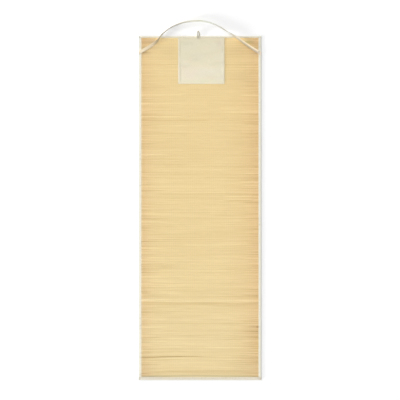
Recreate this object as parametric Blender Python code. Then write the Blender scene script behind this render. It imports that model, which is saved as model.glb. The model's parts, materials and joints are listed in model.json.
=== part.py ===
"""Straw beach mat: a woven straw sheet with cotton bindings, a cloth patch, a strap and a hanging tab.

Metres, +Z up. The mat lies flat. The origin is the middle of its underside, and +Y runs to the strap end.
"""
import math
from collections import namedtuple

import bmesh
import bpy
from mathutils import Vector

# Whole mat
MAT_WIDTH = 0.606
MAT_LENGTH = 1.700
GAP = 0.0003  # clearance between neighbouring pieces
SAME_LINE = 0.0001  # grid lines nearer than this are one
SHARP_ANGLE = math.radians(40)

# Woven straw sheet
STRAW_THICKNESS = 0.0026
PINCHED_THICKNESS = 0.0018  # where the bindings squeeze it
PINCH_RUN = 0.012  # how far from a binding the squeeze dies out
GROOVE_DEPTH = 0.0004  # small valley beside each binding
GROOVE_CENTRE = 0.003
GROOVE_HALF_WIDTH = 0.003
PINCH_MIDDLE = 0.009  # one more grid line between the valley and the end of the squeeze
CREASE_FADE = 0.060  # length over which a crease dies out across the mat
STRAW_COLUMN_STEP = 0.050
STRAW_ROW_STEP = 0.030
CREASE_LINES = (-1.0, -0.5, 0.0, 0.5, 1.0)  # grid lines across a crease, in half widths

# Cotton bindings, folded over the four edges
BINDING_CLOTH = 0.0009
BINDING_FOLD_WALL = 0.0012  # cloth outside the straw's edge
BINDING_HEIGHT = PINCHED_THICKNESS + 2 * (BINDING_CLOTH + GAP)
LEFT_BINDING_WIDTH = 0.013
RIGHT_BINDING_WIDTH = 0.014
TOP_BINDING_WIDTH = 0.009
BOTTOM_BINDING_WIDTH = 0.015
FOLD_SEGMENTS = 6

# Cloth patch with turned hems
PATCH_LEFT = -0.108
PATCH_RIGHT = 0.121
PATCH_BOTTOM = 0.613
PATCH_CLOTH = 0.0008
HEM_WIDTH = 0.010
HEM_RISE = 0.0006  # second layer of cloth in the hems
HEM_SHOULDER = 0.0015
PATCH_STEP = 0.016

# Carrying strap: one flat tape, flat at its sewn ends and standing on its edge in the arch
STRAP_WIDTH = 0.016
STRAP_THICKNESS = 0.0012
STRAP_EDGE_ROUND = 0.0006
STRAP_STEPS = 4  # sections for each row of the route
STRAP_END_INSET = 0.0008  # strap's ends stop short of the mat's outer edges

# Hanging tab: a narrow tape doubled into a loop
TAB_THICKNESS = 0.0010
TAB_EDGE_ROUND = 0.0004
TAB_STEPS = 3

# Heights that the strap and the tab pass over
ON_FLOOR = 0.0
ON_BINDING = BINDING_HEIGHT + GAP

HALF_WIDTH = MAT_WIDTH / 2
HALF_LENGTH = MAT_LENGTH / 2
STRAW_EDGE_INSET = BINDING_FOLD_WALL + GAP
PATCH_TOP = HALF_LENGTH - TOP_BINDING_WIDTH - 2 * GAP
STRAP_END_X = HALF_WIDTH - STRAP_END_INSET

# A crease runs across the mat at y. Above zero it is a low ridge, below zero a valley in the top face.
Crease = namedtuple("Crease", "y half_width height x_from x_to")
CREASES = (
    Crease(+0.7095, 0.008, -0.0005, -0.29, -0.17),
    Crease(+0.6800, 0.012, +0.0006, -0.29, -0.17),
    Crease(+0.5540, 0.012, +0.0004, -0.26, -0.06),
    Crease(+0.4680, 0.010, +0.0007, -0.06, +0.29),
    Crease(+0.4440, 0.011, +0.0009, -0.29, +0.12),
    Crease(+0.4315, 0.007, -0.0006, -0.29, +0.02),
    Crease(+0.1740, 0.012, +0.0005, -0.29, -0.05),
    Crease(+0.0750, 0.011, +0.0005, -0.10, +0.22),
    Crease(+0.0320, 0.009, -0.0005, +0.06, +0.29),
    Crease(-0.0230, 0.009, -0.0005, -0.06, +0.24),
    Crease(-0.1640, 0.010, -0.0005, -0.25, +0.20),
    Crease(-0.1880, 0.012, +0.0006, -0.12, +0.10),
    Crease(-0.4630, 0.014, +0.0012, -0.29, +0.29),
    Crease(-0.5560, 0.013, +0.0006, -0.20, +0.10),
    Crease(-0.5715, 0.007, -0.0006, -0.29, +0.29),
    Crease(-0.6260, 0.010, +0.0004, -0.02, +0.25),
    Crease(-0.7120, 0.018, +0.0014, -0.27, +0.05),
    Crease(-0.7365, 0.007, -0.0009, -0.27, +0.06),
    Crease(-0.7960, 0.016, +0.0010, -0.24, +0.27),
)

# A fold is a low ridge in the patch, from one point to another.
Fold = namedtuple("Fold", "x_from y_from x_to y_to half_width height")
FOLDS = (
    Fold(-0.092, 0.738, +0.108, 0.788, 0.026, 0.0011),
    Fold(-0.070, 0.645, +0.100, 0.652, 0.022, 0.0008),
    Fold(+0.050, 0.726, +0.108, 0.716, 0.014, 0.0006),
    Fold(-0.095, 0.812, -0.045, 0.808, 0.014, 0.0006),
)

# The strap's centreline from its left end to its right end. Turn is the tape's twist in degrees: 0 is
# flat, 90 on edge, and 180 flat with its other face up. Under is the height that it passes over.
StrapPoint = namedtuple("StrapPoint", "x y turn under")
STRAP_ROUTE = (
    StrapPoint(-STRAP_END_X, 0.7675, 0, ON_BINDING),
    StrapPoint(-0.2780, 0.7800, 3, 0.0047),
    StrapPoint(-0.2480, 0.7975, 12, 0.0038),
    StrapPoint(-0.2240, 0.8145, 34, 0.0040),
    StrapPoint(-0.2070, 0.8300, 60, ON_BINDING),
    StrapPoint(-0.1915, 0.8520, 76, 0.0044),
    StrapPoint(-0.1655, 0.8760, 78, 0.0026),
    StrapPoint(-0.1330, 0.8970, 76, 0.0010),
    StrapPoint(-0.0900, 0.9140, 74, ON_FLOOR),
    StrapPoint(-0.0450, 0.9220, 74, ON_FLOOR),
    StrapPoint(+0.0010, 0.9240, 75, ON_FLOOR),
    StrapPoint(+0.0450, 0.9160, 77, ON_FLOOR),
    StrapPoint(+0.0860, 0.9000, 80, ON_FLOOR),
    StrapPoint(+0.1210, 0.8795, 88, 0.0014),
    StrapPoint(+0.1500, 0.8620, 106, 0.0034),
    StrapPoint(+0.1760, 0.8450, 130, ON_BINDING),
    StrapPoint(+0.2030, 0.8265, 146, ON_BINDING),
    StrapPoint(+0.2390, 0.8010, 154, 0.0038),
    StrapPoint(+0.2740, 0.7785, 168, 0.0050),
    StrapPoint(+STRAP_END_X, 0.7620, 180, ON_BINDING),
)

# The tab's centreline from one sewn end round the loop to the other, with the tape's width at each point.
TabPoint = namedtuple("TabPoint", "x y width turn under")
TAB_ROUTE = (
    TabPoint(-0.0150, 0.8422, 0.0050, 92, ON_BINDING),
    TabPoint(-0.0160, 0.8462, 0.0068, 95, ON_BINDING),
    TabPoint(-0.0171, 0.8515, 0.0092, 100, 0.0043),
    TabPoint(-0.0174, 0.8590, 0.0110, 104, 0.0022),
    TabPoint(-0.0160, 0.8665, 0.0110, 106, 0.0006),
    TabPoint(-0.0132, 0.8725, 0.0110, 108, ON_FLOOR),
    TabPoint(-0.0100, 0.8745, 0.0110, 110, ON_FLOOR),
    TabPoint(-0.0068, 0.8720, 0.0110, 114, ON_FLOOR),
    TabPoint(-0.0042, 0.8655, 0.0110, 120, 0.0006),
    TabPoint(-0.0030, 0.8580, 0.0110, 124, 0.0022),
    TabPoint(-0.0046, 0.8505, 0.0094, 118, 0.0043),
    TabPoint(-0.0080, 0.8458, 0.0070, 105, ON_BINDING),
    TabPoint(-0.0116, 0.8422, 0.0050, 94, ON_BINDING),
)

# Straw and cloth finishes: base colour and roughness
Finish = namedtuple("Finish", "colour roughness")
STRAW = Finish((0.83, 0.63, 0.33), 0.62)
BINDING_COTTON = Finish((0.86, 0.80, 0.66), 0.88)
PATCH_COTTON = Finish((0.79, 0.74, 0.56), 0.92)
STRAP_COTTON = Finish((0.87, 0.81, 0.68), 0.85)
TAB_COTTON = Finish((0.78, 0.74, 0.62), 0.88)


def clear_scene():
    for scene_object in list(bpy.data.objects):
        bpy.data.objects.remove(scene_object)


def smooth_step(t):
    t = min(max(t, 0.0), 1.0)
    return t * t * (3.0 - 2.0 * t)


def round_bump(distance, half_width):
    """1 in the middle, falling softly to 0 at half_width away."""
    if abs(distance) >= half_width:
        return 0.0
    return math.cos(0.5 * math.pi * distance / half_width) ** 2


def make_material(name, finish):
    material = bpy.data.materials.new(name)
    material.use_nodes = True
    shader = material.node_tree.nodes["Principled BSDF"]
    shader.inputs["Base Color"].default_value = (*finish.colour, 1.0)
    shader.inputs["Roughness"].default_value = finish.roughness
    shader.inputs["Metallic"].default_value = 0.0
    return material


def add_object(name, bm, finish):
    """Turn a finished bmesh into a named object with its own material, soft where it is round."""
    bmesh.ops.recalc_face_normals(bm, faces=bm.faces)
    mesh = bpy.data.meshes.new(name)
    bm.to_mesh(mesh)
    bm.free()
    mesh.materials.append(make_material(name, finish))
    mesh.shade_smooth()
    mesh.set_sharp_from_angle(angle=SHARP_ANGLE)
    piece = bpy.data.objects.new(name, mesh)
    bpy.context.scene.collection.objects.link(piece)
    return piece


def sheet_between(xs, ys, under_face, top_face):
    """A closed sheet on a grid of columns xs and rows ys, between two heights given by functions."""
    bm = bmesh.new()
    rows = [[bm.verts.new((x, y, under_face(x, y))) for x in xs] for y in ys]
    for low, high in zip(rows, rows[1:]):
        for i in range(len(xs) - 1):
            bm.faces.new((low[i], high[i], high[i + 1], low[i + 1]))
    raised = bmesh.ops.extrude_face_region(bm, geom=bm.faces[:])
    for element in raised["geom"]:
        if isinstance(element, bmesh.types.BMVert):
            element.co.z = top_face(element.co.x, element.co.y)
    return bm


def stations(start, end, step, extra, nearest):
    """Rising values from start to end, about step apart, with the extra ones between them."""
    count = math.ceil((end - start) / step)
    fixed = sorted({start, end, *(v for v in extra if start < v < end)})
    spread = [start + (end - start) * i / count for i in range(1, count)]
    loose = [v for v in spread if all(abs(v - f) > nearest for f in fixed)]
    values = sorted(fixed + loose)
    kept = [values[0]]
    for value in values[1:-1]:
        if value - kept[-1] > SAME_LINE:
            kept.append(value)
    kept.append(values[-1])
    return kept


def binding_gap(x, y):
    """How far a point lies inside the nearest binding's inner edge: below zero it is in the binding."""
    return min(
        x + HALF_WIDTH - LEFT_BINDING_WIDTH,
        HALF_WIDTH - RIGHT_BINDING_WIDTH - x,
        y + HALF_LENGTH - BOTTOM_BINDING_WIDTH,
        HALF_LENGTH - TOP_BINDING_WIDTH - y,
    )


def squeeze(x, y):
    """1 where a binding holds the straw, fading to 0 inside the mat."""
    return smooth_step(1.0 - (binding_gap(x, y) - 2 * GAP) / PINCH_RUN)


def crease_at(x, y):
    total = 0.0
    for crease in CREASES:
        bump = round_bump(y - crease.y, crease.half_width)
        if bump:
            window = smooth_step((x - crease.x_from) / CREASE_FADE + 1.0)
            window *= smooth_step((crease.x_to - x) / CREASE_FADE + 1.0)
            total += crease.height * bump * window
    return total * (1.0 - squeeze(x, y))


def straw_under(x, y):
    """The sheet lies on the floor. It rises over the bindings' lower layer and under the ridges."""
    return squeeze(x, y) * (BINDING_CLOTH + GAP) + max(crease_at(x, y), 0.0)


def straw_top(x, y):
    held = squeeze(x, y)
    thickness = STRAW_THICKNESS + (PINCHED_THICKNESS - STRAW_THICKNESS) * held
    groove = GROOVE_DEPTH * round_bump(binding_gap(x, y) - GROOVE_CENTRE, GROOVE_HALF_WIDTH)
    return straw_under(x, y) + thickness - groove + min(crease_at(x, y), 0.0)


def pinch_stations(inner_edge, inward):
    """Grid lines beside a binding, whose inner edge is given, where the squeezed straw changes height."""
    groove_end = GROOVE_CENTRE + GROOVE_HALF_WIDTH
    steps = (2 * GAP, GROOVE_CENTRE, groove_end, PINCH_MIDDLE, PINCH_RUN + 2 * GAP)
    return [inner_edge + inward * step for step in steps]


def make_straw_panel():
    edge_x = HALF_WIDTH - STRAW_EDGE_INSET
    edge_y = HALF_LENGTH - STRAW_EDGE_INSET
    column_extra = pinch_stations(LEFT_BINDING_WIDTH - HALF_WIDTH, 1)
    column_extra += pinch_stations(HALF_WIDTH - RIGHT_BINDING_WIDTH, -1)
    row_extra = pinch_stations(BOTTOM_BINDING_WIDTH - HALF_LENGTH, 1)
    row_extra += pinch_stations(HALF_LENGTH - TOP_BINDING_WIDTH, -1)
    for crease in CREASES:
        row_extra += [crease.y + part * crease.half_width for part in CREASE_LINES]
    xs = stations(-edge_x, edge_x, STRAW_COLUMN_STEP, column_extra, STRAW_COLUMN_STEP / 3)
    ys = stations(-edge_y, edge_y, STRAW_ROW_STEP, row_extra, STRAW_ROW_STEP / 3)
    add_object("straw_panel", sheet_between(xs, ys, straw_under, straw_top), STRAW)


def fold_outline():
    """The round of a binding's fold, from its top to its underside, with the fold at y = 0."""
    radius = BINDING_HEIGHT / 2
    outline = []
    for i in range(FOLD_SEGMENTS + 1):
        angle = math.pi * (0.5 - i / FOLD_SEGMENTS)
        outline.append((radius * (math.cos(angle) - 1.0), radius * (math.sin(angle) + 1.0)))
    return outline


def make_binding(name, width, length, closed_ends, turn, middle):
    """A strip of cloth folded over an edge. Its fold faces +Y before it is turned and placed."""
    section = [(-width, BINDING_HEIGHT), *fold_outline(), (-width, 0.0)]
    bm = bmesh.new()
    face = bm.faces.new([bm.verts.new((-length / 2, y, z)) for y, z in section])
    bar = bmesh.ops.extrude_face_region(bm, geom=[face])
    far_end = [v for v in bar["geom"] if isinstance(v, bmesh.types.BMVert)]
    bmesh.ops.translate(bm, verts=far_end, vec=(length, 0.0, 0.0))
    piece = add_object(name, bm, BINDING_COTTON)
    slot_reach = -BINDING_FOLD_WALL if closed_ends else BINDING_FOLD_WALL
    cutter = make_slot_cutter(name, width, length + 2 * slot_reach)
    place(cutter, turn, middle)
    place(piece, turn, middle)
    slot = piece.modifiers.new("slot", "BOOLEAN")
    slot.operation = "DIFFERENCE"
    slot.solver = "EXACT"
    slot.object = cutter


def place(piece, turn, middle):
    piece.rotation_euler = (0.0, 0.0, turn)
    piece.location = (middle[0], middle[1], 0.0)


def make_slot_cutter(name, width, length):
    """The space between a binding's two layers, where the straw's edge goes."""
    low = BINDING_CLOTH
    high = BINDING_HEIGHT - BINDING_CLOTH
    bm = bmesh.new()
    bmesh.ops.create_cube(bm, size=1.0)
    bmesh.ops.scale(bm, vec=(length, width, high - low), verts=bm.verts)
    shift = (0.0, -width / 2 - BINDING_FOLD_WALL, (high + low) / 2)
    bmesh.ops.translate(bm, vec=shift, verts=bm.verts)
    cutter = add_object(name + "_slot", bm, BINDING_COTTON)
    cutter.hide_render = True
    cutter.display_type = "WIRE"
    return cutter


def make_bindings():
    side_top = HALF_LENGTH - TOP_BINDING_WIDTH - GAP
    side_bottom = -HALF_LENGTH + BOTTOM_BINDING_WIDTH + GAP
    side_length = side_top - side_bottom
    side_middle = (side_top + side_bottom) / 2
    quarter = math.pi / 2
    make_binding(
        "binding_left", LEFT_BINDING_WIDTH, side_length, False, quarter, (-HALF_WIDTH, side_middle)
    )
    make_binding(
        "binding_right", RIGHT_BINDING_WIDTH, side_length, False, -quarter, (HALF_WIDTH, side_middle)
    )
    make_binding("binding_top", TOP_BINDING_WIDTH, MAT_WIDTH, True, 0.0, (0.0, HALF_LENGTH))
    make_binding("binding_bottom", BOTTOM_BINDING_WIDTH, MAT_WIDTH, True, math.pi, (0.0, -HALF_LENGTH))


def fold_at(x, y):
    """Height of the patch's soft folds, which die out before its sewn edges."""
    total = 0.0
    for fold in FOLDS:
        start = Vector((fold.x_from, fold.y_from))
        along = Vector((fold.x_to, fold.y_to)) - start
        place_on = (Vector((x, y)) - start).dot(along) / along.length_squared
        nearest = start + along * min(max(place_on, 0.0), 1.0)
        total += fold.height * round_bump((Vector((x, y)) - nearest).length, fold.half_width)
    inside = min(x - PATCH_LEFT, PATCH_RIGHT - x, y - PATCH_BOTTOM, PATCH_TOP - y)
    return total * smooth_step((inside - HEM_WIDTH / 2) / HEM_WIDTH)


def patch_under(x, y):
    """The patch lies on the straw, and on the straw's low hump beside the top binding."""
    return max(straw_top(x, y), STRAW_THICKNESS) + GAP + fold_at(x, y)


def patch_top(x, y):
    inside = min(x - PATCH_LEFT, PATCH_RIGHT - x, y - PATCH_BOTTOM, PATCH_TOP - y)
    hem = 1.0 - smooth_step((inside - HEM_WIDTH) / HEM_SHOULDER)
    return patch_under(x, y) + PATCH_CLOTH + HEM_RISE * hem


def make_patch():
    hem_lines = (HEM_WIDTH, HEM_WIDTH + HEM_SHOULDER)
    column_extra = [PATCH_LEFT + line for line in hem_lines] + [PATCH_RIGHT - line for line in hem_lines]
    row_extra = [PATCH_BOTTOM + line for line in hem_lines] + [PATCH_TOP - line for line in hem_lines]
    row_extra += pinch_stations(HALF_LENGTH - TOP_BINDING_WIDTH, -1)
    xs = stations(PATCH_LEFT, PATCH_RIGHT, PATCH_STEP, column_extra, PATCH_STEP / 3)
    ys = stations(PATCH_BOTTOM, PATCH_TOP, PATCH_STEP, row_extra, PATCH_STEP / 3)
    add_object("patch", sheet_between(xs, ys, patch_under, patch_top), PATCH_COTTON)


def between(a, b, c, d, t):
    """A value on the smooth curve through four even ones, at t of the way from b to c."""
    bend = 2 * a - 5 * b + 4 * c - d
    swing = 3 * b - a - 3 * c + d
    return 0.5 * (2 * b + (c - a) * t + bend * t**2 + swing * t**3)


def smooth_rows(rows, steps):
    """Rows of numbers on a smooth curve through the given ones, with steps between each pair."""
    count = len(rows)
    smooth = []
    for i in range(count - 1):
        before = rows[max(i - 1, 0)]
        after = rows[min(i + 2, count - 1)]
        for k in range(steps):
            t = k / steps
            smooth.append([between(*four, t) for four in zip(before, rows[i], rows[i + 1], after)])
    smooth.append(list(rows[-1]))
    return smooth


def tape_section(width, thickness, edge_round):
    """A flat tape's outline, thinner at its two edges: across the tape, and up from its middle."""
    side = width / 2
    flat = side - edge_round
    half = thickness / 2
    return ((-side, 0.0), (-flat, -half), (flat, -half), (side, 0.0), (flat, half), (-flat, half))


def sweep_tape(points, thickness, edge_round, mitre_ends):
    """A tape along points of (x, y, width, turn, under). A mitred end is cut along Y."""
    bm = bmesh.new()
    rings = []
    for i, (x, y, width, turn, under) in enumerate(points):
        ahead = points[min(i + 1, len(points) - 1)]
        behind = points[max(i - 1, 0)]
        tangent = Vector((ahead[0] - behind[0], ahead[1] - behind[1], 0.0)).normalized()
        across = Vector((-tangent.y, tangent.x, 0.0))
        if mitre_ends and i in (0, len(points) - 1):
            across = Vector((0.0, 1.0 / tangent.x, 0.0))
        turned = math.radians(turn)
        lift = under + abs(math.sin(turned)) * width / 2 + abs(math.cos(turned)) * thickness / 2
        middle = Vector((x, y, lift))
        upright = Vector((0.0, 0.0, 1.0))
        wide = across * math.cos(turned) + upright * math.sin(turned)
        thick = upright * math.cos(turned) - across * math.sin(turned)
        outline = tape_section(width, thickness, edge_round)
        rings.append([bm.verts.new(middle + wide * a + thick * b) for a, b in outline])
    for ring, following in zip(rings, rings[1:]):
        for k in range(len(ring)):
            after = (k + 1) % len(ring)
            bm.faces.new((ring[k], ring[after], following[after], following[k]))
    bm.faces.new(rings[0])
    bm.faces.new(list(reversed(rings[-1])))
    return bm


def make_strap():
    rows = [(p.x, p.y, STRAP_WIDTH, p.turn, p.under) for p in STRAP_ROUTE]
    points = smooth_rows(rows, STRAP_STEPS)
    bm = sweep_tape(points, STRAP_THICKNESS, STRAP_EDGE_ROUND, mitre_ends=True)
    add_object("strap", bm, STRAP_COTTON)


def make_tab():
    points = smooth_rows(TAB_ROUTE, TAB_STEPS)
    bm = sweep_tape(points, TAB_THICKNESS, TAB_EDGE_ROUND, mitre_ends=False)
    add_object("tab_loop", bm, TAB_COTTON)


def main():
    clear_scene()
    make_straw_panel()
    make_bindings()
    make_patch()
    make_strap()
    make_tab()


main()
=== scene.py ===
"""Straw beach mat: its straws, weave, bindings, patch, strap and tab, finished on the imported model.

Metres, +Z up. The mat lies flat on the floor, and +Y runs to its strap end. Turns are in degrees.
"""
import json
import math
from collections import namedtuple

import bmesh
import bpy
import numpy as np
from bpy.props import FloatProperty, FloatVectorProperty, PointerProperty
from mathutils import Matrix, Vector, noise

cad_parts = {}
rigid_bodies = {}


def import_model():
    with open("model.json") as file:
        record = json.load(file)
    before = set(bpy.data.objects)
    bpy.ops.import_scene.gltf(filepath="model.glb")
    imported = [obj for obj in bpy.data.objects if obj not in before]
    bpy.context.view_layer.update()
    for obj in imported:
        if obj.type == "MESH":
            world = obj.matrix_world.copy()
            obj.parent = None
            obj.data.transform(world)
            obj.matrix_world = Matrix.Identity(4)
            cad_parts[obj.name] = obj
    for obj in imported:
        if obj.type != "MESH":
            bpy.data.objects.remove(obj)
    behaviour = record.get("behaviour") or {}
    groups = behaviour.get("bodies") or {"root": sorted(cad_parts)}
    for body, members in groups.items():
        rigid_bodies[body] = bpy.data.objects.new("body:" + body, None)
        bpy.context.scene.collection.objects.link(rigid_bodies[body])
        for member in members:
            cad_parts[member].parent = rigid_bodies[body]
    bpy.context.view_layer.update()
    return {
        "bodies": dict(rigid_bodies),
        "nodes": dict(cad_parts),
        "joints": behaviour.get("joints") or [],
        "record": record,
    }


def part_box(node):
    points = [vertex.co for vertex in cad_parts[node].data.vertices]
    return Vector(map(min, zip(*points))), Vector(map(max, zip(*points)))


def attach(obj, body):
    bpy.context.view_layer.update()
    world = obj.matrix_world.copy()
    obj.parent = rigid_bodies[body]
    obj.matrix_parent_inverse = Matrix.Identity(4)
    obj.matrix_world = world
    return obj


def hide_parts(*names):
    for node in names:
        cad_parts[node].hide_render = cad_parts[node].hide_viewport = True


bl_info = {
    "name": "Straw Beach Mat",
    "version": (1, 0, 0),
    "blender": (4, 5, 0),
    "location": "3D View > Sidebar > Straw Mat",
    "description": "Weaves, binds and finishes a straw beach mat on its packed model",
    "category": "Add Mesh",
}

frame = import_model()

# Where the pieces lie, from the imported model
Box = namedtuple("Box", "low high")
PANEL = Box(*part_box("straw_panel"))
LEFT = Box(*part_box("binding_left"))
RIGHT = Box(*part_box("binding_right"))
TOP = Box(*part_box("binding_top"))
BOTTOM = Box(*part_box("binding_bottom"))
PATCH = Box(*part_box("patch"))
HALF_WIDTH = TOP.high.x
HALF_LENGTH = TOP.high.y
STRAW_LENGTH = PANEL.high.x - PANEL.low.x
WOVEN_LENGTH = PANEL.high.y - PANEL.low.y
BINDING_HEIGHT = TOP.high.z

# The woven sheet's levels
GAP = 0.0003
BINDING_CLOTH = 0.0009
SHEET_THICKNESS = 0.0026
PINCHED_THICKNESS = 0.0018  # where the bindings squeeze it
PINCH_RUN = 0.012
ON_FLOOR = 0.0
ON_BINDING = BINDING_HEIGHT + GAP

# Creases that run across the mat: y, half width, height, and from x to x. A height below zero is a valley.
CREASES = (
    (0.7095, 0.008, -0.0005, -0.29, -0.17), (0.68, 0.012, 0.0006, -0.29, -0.17),
    (0.554, 0.012, 0.0004, -0.26, -0.06), (0.468, 0.01, 0.0007, -0.06, 0.29),
    (0.444, 0.011, 0.0009, -0.29, 0.12), (0.4315, 0.007, -0.0006, -0.29, 0.02),
    (0.174, 0.012, 0.0005, -0.29, -0.05), (0.075, 0.011, 0.0005, -0.1, 0.22),
    (0.032, 0.009, -0.0005, 0.06, 0.29), (-0.023, 0.009, -0.0005, -0.06, 0.24),
    (-0.164, 0.01, -0.0005, -0.25, 0.2), (-0.188, 0.012, 0.0006, -0.12, 0.1),
    (-0.463, 0.014, 0.0012, -0.29, 0.29), (-0.556, 0.013, 0.0006, -0.2, 0.1),
    (-0.5715, 0.007, -0.0006, -0.29, 0.29), (-0.626, 0.01, 0.0004, -0.02, 0.25),
    (-0.712, 0.018, 0.0014, -0.27, 0.05), (-0.7365, 0.007, -0.0009, -0.27, 0.06),
    (-0.796, 0.016, 0.001, -0.24, 0.27),
)
CREASE_FADE = 0.060

# Straws that stand out, and painted shade and light along the creases, such as the dark lines in the
# valleys near y 0.43 and -0.737 and the light and dark pair beside the ridge near y -0.46. For each stretch
# from x to x
# and each half width: where, and how much lighter or darker than the rest.
STREAKS_AND_CREASE_SHADE = {
    (-0.29, -0.225, 0.0032): {-0.7402: -0.46},
    (-0.29, -0.2, 0.003): {
        0.705: -0.1, 0.605: -0.14, 0.5956: -0.1, 0.4745: 0.06, 0.3732: -0.12, 0.334: 0.12, 0.324: -0.08,
        0.0865: -0.2, -0.052: -0.1, -0.077: -0.1, -0.131: -0.1, -0.2: 0.1, -0.2743: -0.14, -0.4325: 0.14,
        -0.5067: -0.13, -0.539: 0.08, -0.551: 0.1, -0.6055: 0.12, -0.6599: 0.12, -0.665: -0.16,
    },
    (-0.29, -0.2, 0.004): {-0.07: 0.11, -0.588: 0.13},
    (-0.29, -0.15, 0.004): {-0.029: 0.1},
    (-0.29, -0.15, 0.0035): {-0.089: -0.13},
    (-0.29, -0.12, 0.003): {0.4572: -0.12, 0.2397: -0.18},
    (-0.29, -0.12, 0.005): {0.45: 0.12},
    (-0.29, -0.1, 0.005): {0.5585: 0.09},
    (-0.29, -0.1, 0.004): {0.515: 0.09, 0.214: -0.14},
    (-0.29, -0.1, 0.003): {0.5067: 0.09, 0.2985: -0.08, -0.2842: 0.13},
    (-0.29, -0.1, 0.006): {0.405: 0.09},
    (-0.29, 0, 0.003): {0.304: -0.09},
    (-0.29, 0, 0.004): {0.168: -0.08},
    (-0.29, 0.03, 0.003): {0.4325: -0.22},
    (-0.29, 0.12, 0.003): {-0.1557: -0.11, -0.571: -0.15},
    (-0.29, 0.12, 0.004): {-0.468: -0.12},
    (-0.29, 0.22, 0.003): {-0.1656: -0.09},
    (-0.29, 0.22, 0.005): {-0.4725: -0.08},
    (-0.29, 0.22, 0.0035): {-0.4765: -0.11},
    (-0.29, 0.22, 0.0045): {-0.756: -0.1},
    (-0.29, 0.24, 0.003): {-0.2941: 0.1},
    (-0.29, 0.29, 0.003): {0.7093: -0.13, 0.0766: 0.07, -0.3395: 0.11, -0.7192: -0.08},
    (-0.29, 0.29, 0.005): {-0.453: 0.08},
    (-0.29, 0.29, 0.008): {-0.811: -0.1, -0.819: -0.1},
    (-0.2, -0.1, 0.003): {0.6846: 0.11, 0.5857: 0.09, -0.497: 0.17},
    (-0.2, 0, 0.003): {-0.146: -0.1},
    (-0.2, 0.03, 0.003): {-0.5314: -0.1},
    (-0.2, 0.12, 0.003): {-0.309: 0.08},
    (-0.2, 0.22, 0.003): {-0.0222: -0.1},
    (-0.2, 0.24, 0.004): {0.069: -0.07},
    (-0.2, 0.29, 0.003): {-0.675: 0.1, -0.739: -0.11},
    (-0.2, 0.29, 0.004): {-0.6915: 0.09},
    (-0.18, -0.12, 0.0034): {-0.7375: -0.58},
    (-0.1, 0.29, 0.004): {0.409: 0.05},
    (-0.08, -0.01, 0.0032): {-0.7368: -0.34},
    (-0.08, 0.2, 0.005): {-0.183: 0.09},
    (-0.05, 0.12, 0.003): {-0.4675: -0.1},
    (-0.05, 0.15, 0.003): {-0.6302: -0.1},
    (-0.05, 0.29, 0.003): {-0.2101: -0.1},
    (0.03, 0.18, 0.003): {-0.4385: -0.09},
    (0.03, 0.24, 0.003): {-0.539: 0.1},
    (0.03, 0.29, 0.004): {0.464: -0.1},
    (0.1, 0.24, 0.003): {-0.588: 0.1},
    (0.1, 0.29, 0.003): {0.383: -0.11},
    (0.1, 0.29, 0.004): {0.129: 0.09},
    (0.15, 0.22, 0.0035): {0.0355: -0.2},
    (0.15, 0.24, 0.003): {
        0.7785: -0.11, 0.7588: -0.1, 0.148: -0.09, 0.0865: -0.07, -0.551: 0.1, -0.655: 0.09,
    },
    (0.15, 0.29, 0.004): {0.4745: 0.1, 0.0445: 0.1},
    (0.15, 0.29, 0.003): {0.0568: 0.17, -0.571: -0.26, -0.7439: -0.1},
    (0.18, 0.29, 0.003): {0.203: -0.09},
    (0.2, 0.29, 0.003): {0.0085: 0.1},
    (0.22, 0.29, 0.003): {-0.052: -0.12, -0.6599: 0.11},
    (0.24, 0.29, 0.005): {0.6994: 0.08},
    (0.24, 0.29, 0.003): {
        0.6253: -0.14, 0.5685: -0.12, 0.4276: -0.14, 0.4177: -0.1, 0.4065: 0.12, 0.368: -0.12, 0.3485: -0.2,
        0.2991: -0.12, 0.2595: -0.15, 0.1705: 0.12, 0.1656: -0.12, 0.111: 0.11, -0.0618: -0.16,
        -0.2496: 0.09, -0.3139: 0.12, -0.4276: -0.16, -0.6105: -0.17, -0.665: -0.16,
    },
    (0.24, 0.29, 0.004): {0.604: -0.12},
    (0.24, 0.29, 0.0035): {0.557: 0.22, 0.0275: -0.26},
    (0.24, 0.29, 0.006): {-0.46: 0.14},
}
STREAK_FADE = 0.040
SHADE_HUE = (0.75, 1.00, 1.46)  # darker straws are browner: how far shades act on red, green and blue
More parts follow.
